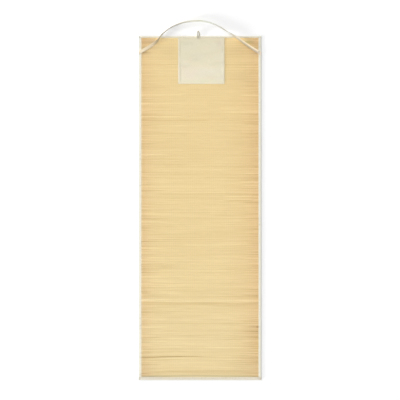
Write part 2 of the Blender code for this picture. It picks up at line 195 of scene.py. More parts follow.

# Soft oval patches of another tint: x, y, reach along x and y, turn, and red, green and blue. Some are
# stains, others painted light and shade, as marked in the tables.
STRAW_STAINS_LIGHT_AND_SHADE = (
    # Painted shade and light beside the side bindings: the straw darker and warmer towards both sides as
    # painted shade, and a paler strip against the left binding as painted light that offsets its shadow.
    (-0.3, 0, 0.06, 2, 0, (0.965, 0.925, 0.905)),
    (-0.289, 0, 0.0035, 2, 0, (1.19, 1.28, 1.58)),
    (-0.279, 0, 0.009, 2, 0, (1, 0.97, 0.95)),
    (0.3, 0, 0.11, 2, 0, (0.94, 0.885, 0.84)),
    (0.282, 0, 0.01, 2, 0, (0.99, 0.96, 0.95)),
    (0.296, 0, 0.018, 2, 0, (0.925, 0.89, 0.91)),
    (0, 0.55, 2, 0.45, 0, (1, 0.985, 0.965)),
    (0, -0.75, 2, 0.35, 0, (0.98, 1, 1.035)),
    (0.26, -0.68, 0.05, 0.15, 0, (0.98, 0.96, 0.95)),
    (-0.23, 0.48, 0.05, 0.12, 0, (0.98, 0.965, 0.95)),
    (-0.155, 0.768, 0.05, 0.026, 0, (0.94, 0.93, 0.91)),
    (0.175, 0.78, 0.06, 0.03, 0, (0.94, 0.92, 0.9)),
    (0.215, 0.64, 0.09, 0.028, 0, (0.95, 0.94, 0.93)),
    (-0.276, 0.828, 0.045, 0.03, 0, (0.88, 0.805, 0.79)),
    (-0.215, 0.835, 0.02, 0.02, 0, (0.96, 0.96, 1)),
    (0.272, 0.822, 0.04, 0.036, 0, (0.95, 0.9, 0.88)),
    (0.24, 0.815, 0.034, 0.008, -36, (0.74, 0.8, 0.68)),
    # The next two, and the one at x 0.262, are painted shadow: dark lines on the straw along the strap's
    # legs.
    (0.279, 0.789, 0.02, 0.006, -36, (0.86, 0.87, 0.92)),
    (-0.268, 0.768, 0.036, 0.008, 30, (0.84, 0.82, 0.82)),
    (-0.276, 0.794, 0.026, 0.0045, 32, (0.76, 0.78, 0.76)),
    (-0.231, 0.826, 0.016, 0.01, 30, (0.93, 0.93, 1)),
    (0.262, 0.771, 0.04, 0.007, -36, (0.88, 0.87, 0.9)),
    # Painted shade in the groove where the straw dips into the bottom binding.
    (0, -0.8345, 2, 0.0045, 0, (0.81, 0.85, 0.88)),
    (-0.25, -0.8335, 0.045, 0.003, 0, (0.7, 0.7, 0.72)),
    (0.25, -0.8, 0.09, 0.05, 0, (0.95, 0.95, 0.95)),
    (-0.285, -0.822, 0.04, 0.012, 0, (0.92, 0.88, 0.86)),
    (0.285, -0.588, 0.008, 0.004, 0, (0.62, 0.52, 0.46)),
    (0.292, -0.69, 0.016, 0.05, 0, (0.96, 0.96, 0.86)),
    # Browner tint on the crease's painted dark line near y -0.737, part of that painted shade.
    (-0.16, -0.738, 0.13, 0.0035, 0, (0.94, 0.91, 0.89)),
    (-0.262, -0.795, 0.035, 0.03, 0, (0.96, 0.94, 0.95)),
    # Painted shadow: a dark spot on the straw at the strap's left end, beside the binding.
    (-0.281, 0.769, 0.006, 0.003, 0, (0.62, 0.58, 0.56)),
    (-0.245, 0.8175, 0.024, 0.007, 0, (0.86, 0.85, 0.84)),
    # These two are painted light, which lightens the strap's shadow on the straw beside the arch's feet.
    (-0.1915, 0.8155, 0.016, 0.01, 0, (1.13, 1.12, 1.1)),
    (0.195, 0.837, 0.016, 0.007, 0, (1.14, 1.13, 1.12)),
)
BINDING_STAINS_LIGHT_AND_SHADE = (
    (0.2941, 0.812, 0.0045, 0.026, 0, (0.84, 0.85, 0.86)),
    (-0.3005, 0.812, 0.005, 0.034, 0, (0.86, 0.87, 0.89)),
    (-0.01, 0.841, 0.008, 0.005, 0, (0.84, 0.84, 0.84)),
    (0, 0.841, 2, 0.003, 0, (0.9, 0.91, 0.94)),
    (-0.302, -0.842, 0.012, 0.01, 0, (0.96, 0.96, 0.98)),
    (0.3, -0.845, 0.006, 0.005, 0, (0.72, 0.69, 0.66)),
    (0, -0.837, 0.28, 0.003, 0, (1.05, 1.02, 0.92)),
    # Painted shade on the left binding's outer fold, and painted light along its inner edge that offsets
    # the shadow of its ledge.
    (-0.3005, 0, 0.0032, 2, 0, (0.74, 0.77, 0.83)),
    (-0.29, 0, 0.002, 2, 0, (1.12, 1.14, 1.17)),
    (0, -0.843, 0.28, 0.0025, 0, (0.92, 0.9, 0.84)),
    (0.2895, 0, 0.003, 2, 0, (0.86, 0.895, 0.9)),
    # Painted light over the strap's shadow on the top binding, and painted shade where the strap crosses
    # it.
    (-0.185, 0.845, 0.016, 0.006, 0, (1.12, 1.12, 1.15)),
    (-0.206, 0.842, 0.008, 0.006, 0, (0.9, 0.93, 1)),
)
PATCH_STAINS_LIGHT_AND_SHADE = (
    (-0.069, 0.811, 0.036, 0.009, 4, (0.94, 0.965, 0.96)),
    (0.097, 0.811, 0.018, 0.02, 0, (0.95, 0.92, 0.95)),
    (-0.06, 0.765, 0.05, 0.014, 18, (0.98, 0.99, 0.98)),
    (-0.022, 0.733, 0.024, 0.009, 12, (0.95, 0.95, 0.95)),
    (-0.074, 0.7, 0.026, 0.007, 0, (0.94, 0.93, 0.93)),
    (0.084, 0.715, 0.04, 0.01, 12, (0.95, 0.95, 0.94)),
    (0.07, 0.645, 0.046, 0.01, -8, (0.96, 0.95, 0.96)),
    (-0.06, 0.664, 0.05, 0.03, 0, (1.02, 0.985, 1.01)),
    (0.01, 0.69, 0.07, 0.016, 0, (1.03, 1.02, 1.03)),
    (0.007, 0.627, 0.11, 0.005, 0, (0.98, 1.01, 0.97)),
    (-0.01, 0.838, 0.009, 0.004, 0, (0.82, 0.82, 0.82)),
    # Painted light and shade on the patch's sides: darker along its left edge and the right hem's shoulder,
    # which face the light, and much paler along its right edge, which is turned away from it.
    (-0.1065, 0.73, 0.003, 0.2, 0, (0.86, 0.85, 0.88)),
    (0.1215, 0.73, 0.003, 0.2, 0, (1.4, 1.45, 1.42)),
    (0.1115, 0.73, 0.003, 0.2, 0, (0.93, 0.92, 0.93)),
    (-0.005, 0.757, 0.09, 0.01, 8, (0.97, 0.97, 0.97)),
    (-0.07, 0.722, 0.02, 0.006, 8, (1.04, 1.02, 1.03)),
    (0.09, 0.727, 0.02, 0.004, 0, (1.03, 1.02, 1.04)),
    (0.045, 0.676, 0.05, 0.014, 0, (1, 1.01, 1.05)),
    (0, 0.66, 0.2, 0.045, 0, (1, 1.005, 1.03)),
)
# Painted light: the tab's left leg and tip made paler over the shade inside its loop.
TAB_PAINTED_LIGHT = (
    (-0.0175, 0.862, 0.0035, 0.012, 0, (1.28, 1.28, 1.3)),
    (-0.011, 0.874, 0.006, 0.004, 0, (1.2, 1.2, 1.2)),
)

# The strap's tints along x, which are painted light and shade: paler and bluer on the arch's left, where
# its shaded face is turned up; darker on the twist near x -0.21 and on the arch's right, as painted shade;
# and near both ends one edge darker as a painted shadow, near the right end with the other paler as a
# painted highlight.
# A second tint is for its edge farther from the mat's foot.
STRAP_TONES_LIGHT_AND_SHADE = {
    -0.302: ((1, 1, 1),),
    -0.27: ((1, 0.99, 0.93), (0.97, 0.96, 0.89)),
    -0.235: ((1, 0.96, 0.88), (0.9, 0.86, 0.78)),
    -0.21: ((0.94, 0.89, 0.78), (0.86, 0.81, 0.7)),
    -0.195: ((1.14, 1.24, 1.36),),
    -0.15: ((1.15, 1.27, 1.55),),
    -0.09: ((1.05, 1.16, 1.34),),
    -0.045: ((0.92, 1.05, 1.17),),
    0: ((0.84, 0.97, 1.05),),
    0.045: ((0.7, 0.84, 0.98),),
    0.086: ((0.64, 0.72, 0.85),),
    0.121: ((0.6, 0.65, 0.72),),
    0.15: ((0.72, 0.79, 0.8),),
    0.176: ((0.98, 1, 1.04), (1.14, 1.15, 1.18)),
    0.205: ((0.8, 0.79, 0.73), (1.24, 1.24, 1.18)),
    0.25: ((0.7, 0.68, 0.64), (1.26, 1.26, 1.2)),
    0.284: ((0.74, 0.7, 0.69), (1.24, 1.21, 1.18)),
    0.2895: ((0.88, 0.86, 0.88), (0.66, 0.66, 0.68)),
    0.295: ((0.94, 0.94, 0.98), (1.04, 1.03, 1.06)),
    0.302: ((1, 1, 1.06), (1.04, 1.03, 1.06)),
}
STRAP_FLIP_X = 0.12  # past this the strap's other edge is nearer the foot
STRAP_EDGE = (0.28, 0.3)  # where the nearer edge's tint ends and over what share of the width it fades

# Places along the side bindings where the seam has drawn the cloth in
LEFT_PUCKERS = (0.2420, 0.1110, -0.5440, -0.5810, -0.5960, -0.7370, -0.8240)
RIGHT_PUCKERS = (0.5200, -0.0820, -0.5870)

# How far the rows of straws bow towards the strap end in the mat's middle, for each y
BOWS = {
    -0.85: 0.0045, -0.8: 0.006, -0.74: 0.003, -0.6: 0.0008, -0.4: -0.001, -0.1: 0.0006,
    0.2: -0.0008, 0.45: 0.0012, 0.7: 0, 0.85: 0,
}

# Slow waves in the rows: height, waves along x and y, and start
ROW_WAVES = ((0.0003, 9.0, 5.0, 0.0), (0.00015, 23.0, -11.0, 1.0))

# Low ridges in the patch, each from x, y to x, y, with its half width and height
FOLDS = (
    (-0.092, 0.738, 0.108, 0.788, 0.026, 0.0011),
    (-0.07, 0.645, 0.1, 0.652, 0.022, 0.0008),
    (0.05, 0.726, 0.108, 0.716, 0.014, 0.0006),
    (-0.095, 0.812, -0.045, 0.808, 0.014, 0.0006),
)

# The strap's centreline: x, y, turn and the height that it passes over. It lies flat at a turn of 0, on
# edge at 90, and flat with its other face up at 180.
STRAP_WIDTH = 0.016
STRAP_THICKNESS = 0.0012
STRAP_END_X = HALF_WIDTH - 0.0008
STRAP_ROUTE = (
    (-STRAP_END_X, 0.7675, 0, ON_BINDING), (-0.278, 0.78, 3, 0.0047), (-0.248, 0.7975, 12, 0.0038),
    (-0.224, 0.8145, 34, 0.004), (-0.207, 0.83, 60, ON_BINDING), (-0.1915, 0.852, 76, 0.0044),
    (-0.1655, 0.876, 78, 0.0026), (-0.133, 0.897, 76, 0.001), (-0.09, 0.914, 74, ON_FLOOR),
    (-0.045, 0.922, 74, ON_FLOOR), (0.001, 0.924, 75, ON_FLOOR), (0.045, 0.916, 77, ON_FLOOR),
    (0.086, 0.9, 80, ON_FLOOR), (0.121, 0.8795, 84, 0.0014), (0.15, 0.862, 107, 0.0034),
    (0.176, 0.845, 130, ON_BINDING), (0.203, 0.8265, 146, ON_BINDING), (0.239, 0.801, 154, 0.0038),
    (0.274, 0.7785, 168, 0.005), (STRAP_END_X, 0.762, 180, ON_BINDING),
)

# The tab's centreline round its loop: x, y, width, turn and the height that it passes over
TAB_THICKNESS = 0.0010
TAB_ROUTE = (
    (-0.015, 0.8422, 0.005, 92, ON_BINDING), (-0.016, 0.8462, 0.0068, 95, ON_BINDING),
    (-0.0171, 0.8515, 0.0092, 100, 0.0043), (-0.0174, 0.859, 0.011, 104, 0.0022),
    (-0.016, 0.8665, 0.011, 106, 0.0006), (-0.0132, 0.8725, 0.011, 108, ON_FLOOR),
    (-0.01, 0.8745, 0.011, 110, ON_FLOOR), (-0.0068, 0.872, 0.011, 114, ON_FLOOR),
    (-0.0042, 0.8655, 0.011, 120, 0.0006), (-0.003, 0.858, 0.011, 124, 0.0022),
    (-0.0046, 0.8505, 0.0094, 118, 0.0043), (-0.008, 0.8458, 0.007, 105, ON_BINDING),
    (-0.0116, 0.8422, 0.005, 94, ON_BINDING),
)

# Straws
STRAW_SIDES = 6
STRAW_END_CUTS = (0.001, 0.0125, 0.0190, 0.0250)  # from each end, where the bindings bend the straws
STRAW_MIDDLE_CUTS = 12
STRAW_WIDTHS = (0.7, 1.4)  # the narrowest and the widest, over the usual width
STRAW_OVERLAP = 1.12  # a straw's width over its share of the mat
STRAW_FLATTEST = 0.88  # of the sheet's thickness
STRAW_TILT = 0.05
STRAW_TWIST = 0.10  # how its tilt changes along it
STRAW_SWELL = 0.06
STRAW_WANDER = 0.00012
STRAW_LIFT = 0.00008
BUNCH_TONE = 0.014  # tones that neighbours share
BUNCHES = 160
OWN_TONE = 0.016
LONG_TONE = 0.050  # slow and quick changes of tone along a straw
SHORT_TONE = 0.025
LIVELINESS = (0.48, 0.95, 0.32)  # in the mat's middle, added at its sides, and its loss from middle to head
STRIP_COLUMNS = 4
STRIP_MARGIN = 0.01

# The straw's colour, from its darkest tone to its palest
STRAW_TONES = {
    0.30: (0.84, 0.81, 0.74),
    0.48: (0.95, 0.94, 0.91),
    0.63: (1.00, 1.00, 1.00),
    0.78: (1.05, 1.06, 1.10),
    0.95: (1.10, 1.15, 1.28),
}
USUAL_TONE = 0.63

# Warp threads and stitches
THREAD_COLOURS = {
    "warp": (0.71, 0.58, 0.36),
    "binding": (0.80, 0.77, 0.66),
    "patch": (0.76, 0.72, 0.60),
    "strap": (0.82, 0.78, 0.68),
    "tab": (0.72, 0.68, 0.56),
}
WARP_HALF_WIDTH = 0.00035
WARP_RADIUS = 0.00022
WARP_PRESS = 0.00015  # how far the threads stand out of the straws
WARP_MARGIN = 0.012  # from the mat's sides
WARP_FLAT = 0.26  # share of a straw's width, to each side, that a thread lies flat on
WARP_STRAY = 0.00012
WARP_BANDS = ("left", "middle", "right")
STITCH_SIDES = 5
STITCH_FLATNESS = 0.9  # a stitch's height over its width
STITCH_STRAY = 0.00006
STITCH_SHARE = (0.74, 0.80)  # of a seam's pitch that a stitch covers, at least and at most
STITCH_LIFT = 0.45  # share of its thickness that its middle lies above the cloth
TAB_STITCH_LIFT = 0.3

# Bindings
BINDING_STEP = 0.003
FOLD_STEPS = 8
SEAM_INSET = 0.0026  # the seam's distance from a binding's inner edge
SEAM_MARGIN = 0.004  # from a binding's ends
SEAM_DIP = 0.00035
FACE_SINK = 0.00005  # how far the cloth lies lower beside its seam
END_TUCK = 0.0012  # over which the end bindings' own ends are sewn shut
INNER_POINTS = 6  # of the outline, which line a binding's inside
INNER_EDGE_WAVER = 0.00035  # how far the inner edge strays, and over what runs
WAVER_RUN = 0.03
FOLD_ROLL = 0.00020  # how far the fold is rolled into the mat in places, and over what runs
ROLL_RUN = 0.05
ROLL_REACH = 0.003
SHUT_CLOTH = 0.25  # share of its height that the outside loses where an end is sewn shut
SHUT_INSIDE = 0.98  # and the inside
PUCKER_SPACING = 0.011
CHOSEN_PUCKER = (1.8, 0.0045)  # depth and half width of those that the photograph shows
PUCKER_AWAY = 0.35  # share of a pucker's depth away from the seam
# Painted shade in the puckers: how much darker the cloth is there.
PUCKER_PAINTED_SHADE = 0.10

# Patch
PATCH_STEP = 0.0025
PATCH_EDGE_CUTS = (0.0004, 0.0009, 0.0016)  # extra cuts near its edges
PATCH_ROUNDING = 0.0035
PATCH_CLOTH = 0.0008
PATCH_FADE = 0.45  # how much paler the cloth is for each metre towards the foot
HEM_WIDTH = 0.010
HEM_RISE = 0.0006
HEM_SHOULDER = 0.0015
HEM_EDGE = 0.30  # share of the cloth's thickness that is left at its very edge
WRINKLES_FROM = 0.002  # from the patch's edges, and over what run they grow
WRINKLE_RUN = 0.012
PATCH_SEAM_INSET = 0.0035
PATCH_SEAM_REACH = 0.0015
PATCH_SEAM_DIP = 0.00015

# Tapes
TAPE_STEPS = 14  # sections for each row of a tape's route
MITRE_RUN = 0.014  # how far from its ends a tape turns into its slanted cut
TAPE_SEAM_MARGIN = 0.002
TAPE_STITCH_PITCH = 0.0024
STRAP_SEAM_INSETS = (0.0045, 0.0075, 0.0105)
TAB_SEAM_ROWS = (0.8428, 0.8440, 0.8452)
TAB_SEAM_FROM = -0.0176
TAB_SEAM_TO = -0.0092

# Where each lamp shines from, 0 from the left and 90 from above the mat's top end, how high, and how wide
LAMPS = {
    "overhead": (20.0, 76.0, 50.0),
    "left": (-25.0, 9.0, 12.0),
    "head": (55.0, 22.0, 22.0),
    "foot": (205.0, 42.0, 40.0),
}
FLOOR_SIZE = 60.0

# The camera looks straight down on the whole mat, as in the photograph.
PICTURE_WIDTH = 1.977  # metres of floor that the picture spans
PICTURE_MIDDLE_Y = 0.0395
CAMERA_LENS = 100.0
CAMERA_SENSOR = 36.0


class StrawSettings(bpy.types.PropertyGroup):
    pitch: FloatProperty(
        name="Straw pitch", description="Average distance from straw to straw",
        default=0.0024, min=0.0018, max=0.006, unit="LENGTH",
    )
    unevenness: FloatProperty(
        name="Unevenness", description="How much the straws' widths vary",
        default=0.13, min=0.0, max=0.3, subtype="FACTOR",
    )
    warp_pitch: FloatProperty(
        name="Warp pitch", description="Distance between the cotton threads that the straws are woven on",
        default=0.0094, min=0.006, max=0.05, unit="LENGTH",
    )
    colour: FloatVectorProperty(
        name="Straw colour", description="Colour of most of the straws",
        default=(0.815, 0.652, 0.352), min=0.0, max=1.0, subtype="COLOR",
    )


class BindingSettings(bpy.types.PropertyGroup):
    colour: FloatVectorProperty(
        name="Binding colour", description="Colour of the cotton strips round the edges",
        default=(0.785, 0.755, 0.650), min=0.0, max=1.0, subtype="COLOR",
    )
    pucker: FloatProperty(
        name="Pucker", description="Depth of the small puckers along the seams",
        default=0.00022, min=0.0, max=0.0006, unit="LENGTH",
    )
    stitch_pitch: FloatProperty(
        name="Stitch pitch", description="Distance from stitch to stitch along a seam",
        default=0.0034, min=0.002, max=0.008, unit="LENGTH",
    )
    stitch_thickness: FloatProperty(
        name="Stitch thickness", description="Thickness of the sewing thread",
        default=0.00045, min=0.0002, max=0.001, unit="LENGTH",
    )


class ClothSettings(bpy.types.PropertyGroup):
    patch_colour: FloatVectorProperty(
        name="Patch colour", description="Colour of the cloth patch",
        default=(0.700, 0.650, 0.500), min=0.0, max=1.0, subtype="COLOR",
    )
    wrinkle: FloatProperty(
        name="Wrinkle", description="Height of the fine wrinkles in the patch",
        default=0.00030, min=0.0, max=0.001, unit="LENGTH",
    )
    strap_colour: FloatVectorProperty(
        name="Strap colour", description="Colour of the carrying strap",
        default=(0.790, 0.690, 0.530), min=0.0, max=1.0, subtype="COLOR",
    )
    tab_colour: FloatVectorProperty(
        name="Tab colour", description="Colour of the hanging tab",
        default=(0.700, 0.660, 0.540), min=0.0, max=1.0, subtype="COLOR",
    )


class StageSettings(bpy.types.PropertyGroup):
    floor_colour: FloatVectorProperty(
        name="Floor colour", description="Colour of the pale floor",
        default=(0.885, 0.885, 0.885), min=0.0, max=1.0, subtype="COLOR",
    )
    overhead: FloatProperty(
        name="Overhead light", description="Strength of the broad soft light from above",
        default=2.04, min=0.0, max=20.0,
    )
    left: FloatProperty(
        name="Left light", description="Strength of the low soft light from the left",
        default=3.2, min=0.0, max=20.0,
    )
    head: FloatProperty(
        name="Head light", description="Strength of the soft light from the mat's strap end",
        default=1.6, min=0.0, max=20.0,
    )
    foot: FloatProperty(
        name="Foot light", description="Strength of the soft light from the mat's foot",
        default=0.5, min=0.0, max=20.0,
    )
    sky: FloatProperty(
        name="Fill light", description="Strength of the even light from all sides",
        default=0.09, min=0.0, max=2.0,
    )


# Shapes

def smooth_step(t):
    t = np.clip(t, 0.0, 1.0)
    return t * t * (3.0 - 2.0 * t)


def round_bump(distance, half_width):
    """1 in the middle, falling softly to 0 at half_width away."""
    part = np.clip(np.abs(distance) / half_width, 0.0, 1.0)
    return np.cos(0.5 * math.pi * part) ** 2


def window(x, x_from, x_to, fade):
    """1 between two places, fading to 0 outside them."""
    return smooth_step((x - x_from) / fade + 1.0) * smooth_step((x_to - x) / fade + 1.0)


def random_curve(random, rows, knots, places):
    """A smooth random curve for each row, about -1 to 1, read at places from 0 to 1."""
    values = random.normal(0.0, 0.5, (rows, knots + 1))
    at = np.clip(places, 0.0, 1.0) * knots
    low = np.minimum(at.astype(int), knots - 1)
    part = smooth_step(at - low)
    return values[:, low] * (1.0 - part) + values[:, low + 1] * part


def squeeze(x, y):
    """1 where a binding holds the straw, fading to 0 inside the mat."""
    inside = np.minimum(
        np.minimum(x - LEFT.high.x, RIGHT.low.x - x),
        np.minimum(y - BOTTOM.high.y, TOP.low.y - y),
    )
    return smooth_step(1.0 - (inside - 2 * GAP) / PINCH_RUN)


def crease_at(x, y):
    """Height of the creases, which die out under the bindings."""
    total = np.zeros(np.broadcast(x, y).shape)
    for crease_y, half_width, height, x_from, x_to in CREASES:
        total += height * round_bump(y - crease_y, half_width) * window(x, x_from, x_to, CREASE_FADE)
    return total * (1.0 - squeeze(x, y))


def sheet_levels(x, y):
    """Lowest and highest level of the woven sheet, its warp threads included."""
    held = squeeze(x, y)
    crease = crease_at(x, y)
    under = held * (BINDING_CLOTH + GAP) + np.maximum(crease, 0.0)
    thickness = SHEET_THICKNESS + (PINCHED_THICKNESS - SHEET_THICKNESS) * held
    return under, under + thickness + np.minimum(crease, 0.0)


def stains_light_and_shade_at(x, y, stains):
    """The tint that the oval patches give to each place, as red, green and blue factors: stains, and
    painted light and shade.
    """
    tint = np.ones((*np.broadcast(x, y).shape, 3))
    for stain_x, stain_y, reach_x, reach_y, turn, factors in stains:
        turned = math.radians(turn)
        away_x, away_y = x - stain_x, y - stain_y
        along = (away_x * math.cos(turned) + away_y * math.sin(turned)) / reach_x
        across = (away_y * math.cos(turned) - away_x * math.sin(turned)) / reach_y
        strength = np.exp(-(along**2) - across**2)
        tint *= 1.0 + (np.array(factors) - 1.0) * strength[..., None]
    return tint


def bow_at(x, y):
    """How far the straws lie from straight rows."""
    bow = np.interp(y, list(BOWS), list(BOWS.values()))
    wave = sum(height * np.sin(by_x * x + by_y * y + start) for height, by_x, by_y, start in ROW_WAVES)
    return bow * (1.0 - (x / HALF_WIDTH) ** 2) + wave * (1.0 - squeeze(x, y))


def between(a, b, c, d, t):
    """A value on the smooth curve through four even ones, at t of the way from b to c."""
    bend = 2 * a - 5 * b + 4 * c - d
    swing = 3 * b - a - 3 * c + d
    return 0.5 * (2 * b + (c - a) * t + bend * t**2 + swing * t**3)


def smooth_rows(rows, steps):
    """Rows of numbers on a smooth curve through the given ones, with steps between each pair."""
    last = len(rows) - 1
    smooth = []
    for i in range(last):
        four = (rows[max(i - 1, 0)], rows[i], rows[i + 1], rows[min(i + 2, last)])
        for k in range(steps):
            smooth.append([between(*values, k / steps) for values in zip(*four)])
    smooth.append(list(rows[-1]))
    return np.array(smooth)


# Meshes

def add_mesh(name, points, faces, material, maps=None, values=None):
    """A mesh object at the origin. Faces is a list of arrays, one for each number of corners.

    Maps holds a place on the flat for each corner, and values a number or three for each point.
    """
    corners = np.concatenate([part.ravel() for part in faces]).astype(np.int32)
    sizes = np.concatenate([np.full(len(part), part.shape[1]) for part in faces]).astype(np.int32)
    starts = np.concatenate(([0], np.cumsum(sizes)[:-1])).astype(np.int32)
    mesh = bpy.data.meshes.new(name)
    mesh.vertices.add(len(points))
    mesh.vertices.foreach_set("co", np.asarray(points, np.float32).ravel())
    mesh.loops.add(len(corners))
    mesh.loops.foreach_set("vertex_index", corners)
    mesh.polygons.add(len(sizes))
    mesh.polygons.foreach_set("loop_start", starts)
    for key, places in (maps or {}).items():
        layer = mesh.uv_layers.new(name=key)
        layer.uv.foreach_set("vector", np.asarray(places, np.float32).ravel())
    for key, data in (values or {}).items():
        data = np.asarray(data, np.float32).reshape(len(points), -1)
        kind, field = ("FLOAT_VECTOR", "vector") if data.shape[1] == 3 else ("FLOAT", "value")
        mesh.attributes.new(key, kind, "POINT").data.foreach_set(field, data.ravel())
    mesh.update(calc_edges=True)
    mesh.validate()
    mesh.materials.append(material)
    mesh.shade_smooth()
    piece = bpy.data.objects.new(name, mesh)
    bpy.context.scene.collection.objects.link(piece)
    return piece


def face_outwards(piece):
    """Turns a closed mesh's faces outwards."""
    bm = bmesh.new()
    bm.from_mesh(piece.data)
    bmesh.ops.recalc_face_normals(bm, faces=bm.faces)
    bm.to_mesh(piece.data)
    bm.free()


def tube_faces(count, around):
    """Quads between neighbouring rings, and a cap on each end."""
    ring, step = np.meshgrid(np.arange(count - 1), np.arange(around), indexing="ij")
    here = ring * around + step
    beside = ring * around + (step + 1) % around
    quads = np.stack([here, beside, beside + around, here + around], axis=-1).reshape(-1, 4)
    first = np.arange(around)[::-1]
    last = np.arange(around) + (count - 1) * around
    return quads, np.stack([first, last])


def add_tube(name, rings, material, values=None):
    """A closed skin over rings of points, with a map in metres round and along it."""
    count, around = rings.shape[:2]
    quads, caps = tube_faces(count, around)
    along = np.linalg.norm(np.diff(rings, axis=0), axis=2).max(axis=1)
    along = np.concatenate(([0.0], np.cumsum(along)))
    round_steps = np.linalg.norm(np.roll(rings, -1, axis=1) - rings, axis=2).mean(axis=0)
    round_at = np.concatenate(([0.0], np.cumsum(round_steps)))
    ring, step = np.meshgrid(np.arange(count - 1), np.arange(around), indexing="ij")
    u = np.stack([round_at[step], round_at[step + 1], round_at[step + 1], round_at[step]], axis=-1)
    v = np.stack([along[ring], along[ring], along[ring + 1], along[ring + 1]], axis=-1)
    sides = np.stack([u, v], axis=-1).reshape(-1, 2)
    cap_points = rings[[0, -1]].reshape(-1, 3)
    ends = np.stack([cap_points[:, 0] + cap_points[:, 1], cap_points[:, 2]], axis=-1)
    maps = {"Cloth": np.concatenate([sides, ends])}
    piece = add_mesh(name, rings.reshape(-1, 3), [quads, caps], material, maps, values)
    face_outwards(piece)
    return piece


def add_sheet(name, xs, ys, under, top, material, tint):
    """A closed sheet on a grid, between two arrays of levels, with a map in metres."""
    x, y = np.meshgrid(xs, ys)
    rows, columns = x.shape
    points = np.concatenate([np.stack([x, y, level], axis=-1).reshape(-1, 3) for level in (under, top)])
    row, column = np.meshgrid(np.arange(rows - 1), np.arange(columns - 1), indexing="ij")
    a = (row * columns + column).ravel()
    lower = np.stack([a, a + columns, a + columns + 1, a + 1], axis=-1)
    upper = lower[:, ::-1] + rows * columns
    rim = (
        np.arange(columns - 1),
        np.arange(rows - 1) * columns + columns - 1,
        (rows - 1) * columns + np.arange(columns - 1, 0, -1),
        np.arange(rows - 1, 0, -1) * columns,
    )
    loop = np.concatenate(rim)
    after = np.roll(loop, -1)
    sides = np.stack([loop, after, after + rows * columns, loop + rows * columns], axis=-1)
    faces = np.concatenate([lower, upper, sides])
    values = {"tint": np.concatenate([tint.reshape(-1, 3)] * 2)}
    maps = {"Cloth": points[faces.ravel(), :2]}
    piece = add_mesh(name, points, [faces], material, maps, values)
    face_outwards(piece)
    return piece


def take_template(piece):
    """The points and faces of a modelled piece, which is then removed."""
    mesh = piece.data
    points = np.array([v.co for v in mesh.vertices])
    by_size = {}
    for face in mesh.polygons:
        by_size.setdefault(len(face.vertices), []).append(face.vertices[:])
    bpy.data.objects.remove(piece)
    return points, [np.array(part) for part in by_size.values()]


def repeat_faces(faces, count, points):
    """The faces of count copies of a template that has so many points."""
    shift = np.arange(count)[:, None, None] * points
    return [(part[None] + shift).reshape(-1, part.shape[1]) for part in faces]


def add_rod(sides, cuts):
    """A rod of unit length along X and unit width, cut into even lengths, in edit mode."""
    bpy.ops.object.select_all(action="DESELECT")
    bpy.ops.mesh.primitive_cylinder_add(
        vertices=sides, radius=0.5, depth=1.0, location=(0, 0, 0), rotation=(0, math.pi / 2, 0)
    )
    bpy.ops.object.transform_apply(location=False, rotation=True, scale=False)
    rod = bpy.context.object
    bpy.ops.object.mode_set(mode="EDIT")
    bpy.ops.mesh.select_all(action="DESELECT")
    bm = bmesh.from_edit_mesh(rod.data)
    for edge in bm.edges:
        edge.select_set(abs(edge.verts[0].co.x - edge.verts[1].co.x) > 0.5)
    bmesh.update_edit_mesh(rod.data)
    bpy.ops.mesh.subdivide(number_cuts=cuts)
    return rod


def model_straw():
    """One straw: a long stalk with square ends, cut closer together where it bends into the bindings."""
    near = [distance / STRAW_LENGTH for distance in STRAW_END_CUTS]
    middle = np.linspace(near[-1], 1.0 - near[-1], STRAW_MIDDLE_CUTS + 2)[1:-1]
    places = [0.0, *near, *middle, *(1.0 - part for part in reversed(near)), 1.0]
    straw = add_rod(STRAW_SIDES, len(places) - 2)
    bpy.ops.object.mode_set(mode="OBJECT")
    points, faces = take_template(straw)
    points[:, 0] = np.interp(points[:, 0] + 0.5, np.linspace(0.0, 1.0, len(places)), places) - 0.5
    return points, faces


def model_stitch():
    """One stitch of sewing thread: a short rod that dives in at both ends."""
    stitch = add_rod(STITCH_SIDES, 1)
    bpy.ops.mesh.select_all(action="DESELECT")
    bm = bmesh.from_edit_mesh(stitch.data)
    for vertex in bm.verts:
        vertex.select_set(abs(vertex.co.x) > 0.4)
    bm.select_flush(True)
    bmesh.update_edit_mesh(stitch.data)
    bpy.ops.transform.resize(value=(1.0, 0.6, 0.6), center_override=(0.0, 0.0, 0.0))
    bpy.ops.transform.translate(value=(0.0, 0.0, -0.35))
    bpy.ops.object.mode_set(mode="OBJECT")
    return take_template(stitch)


# Finishes

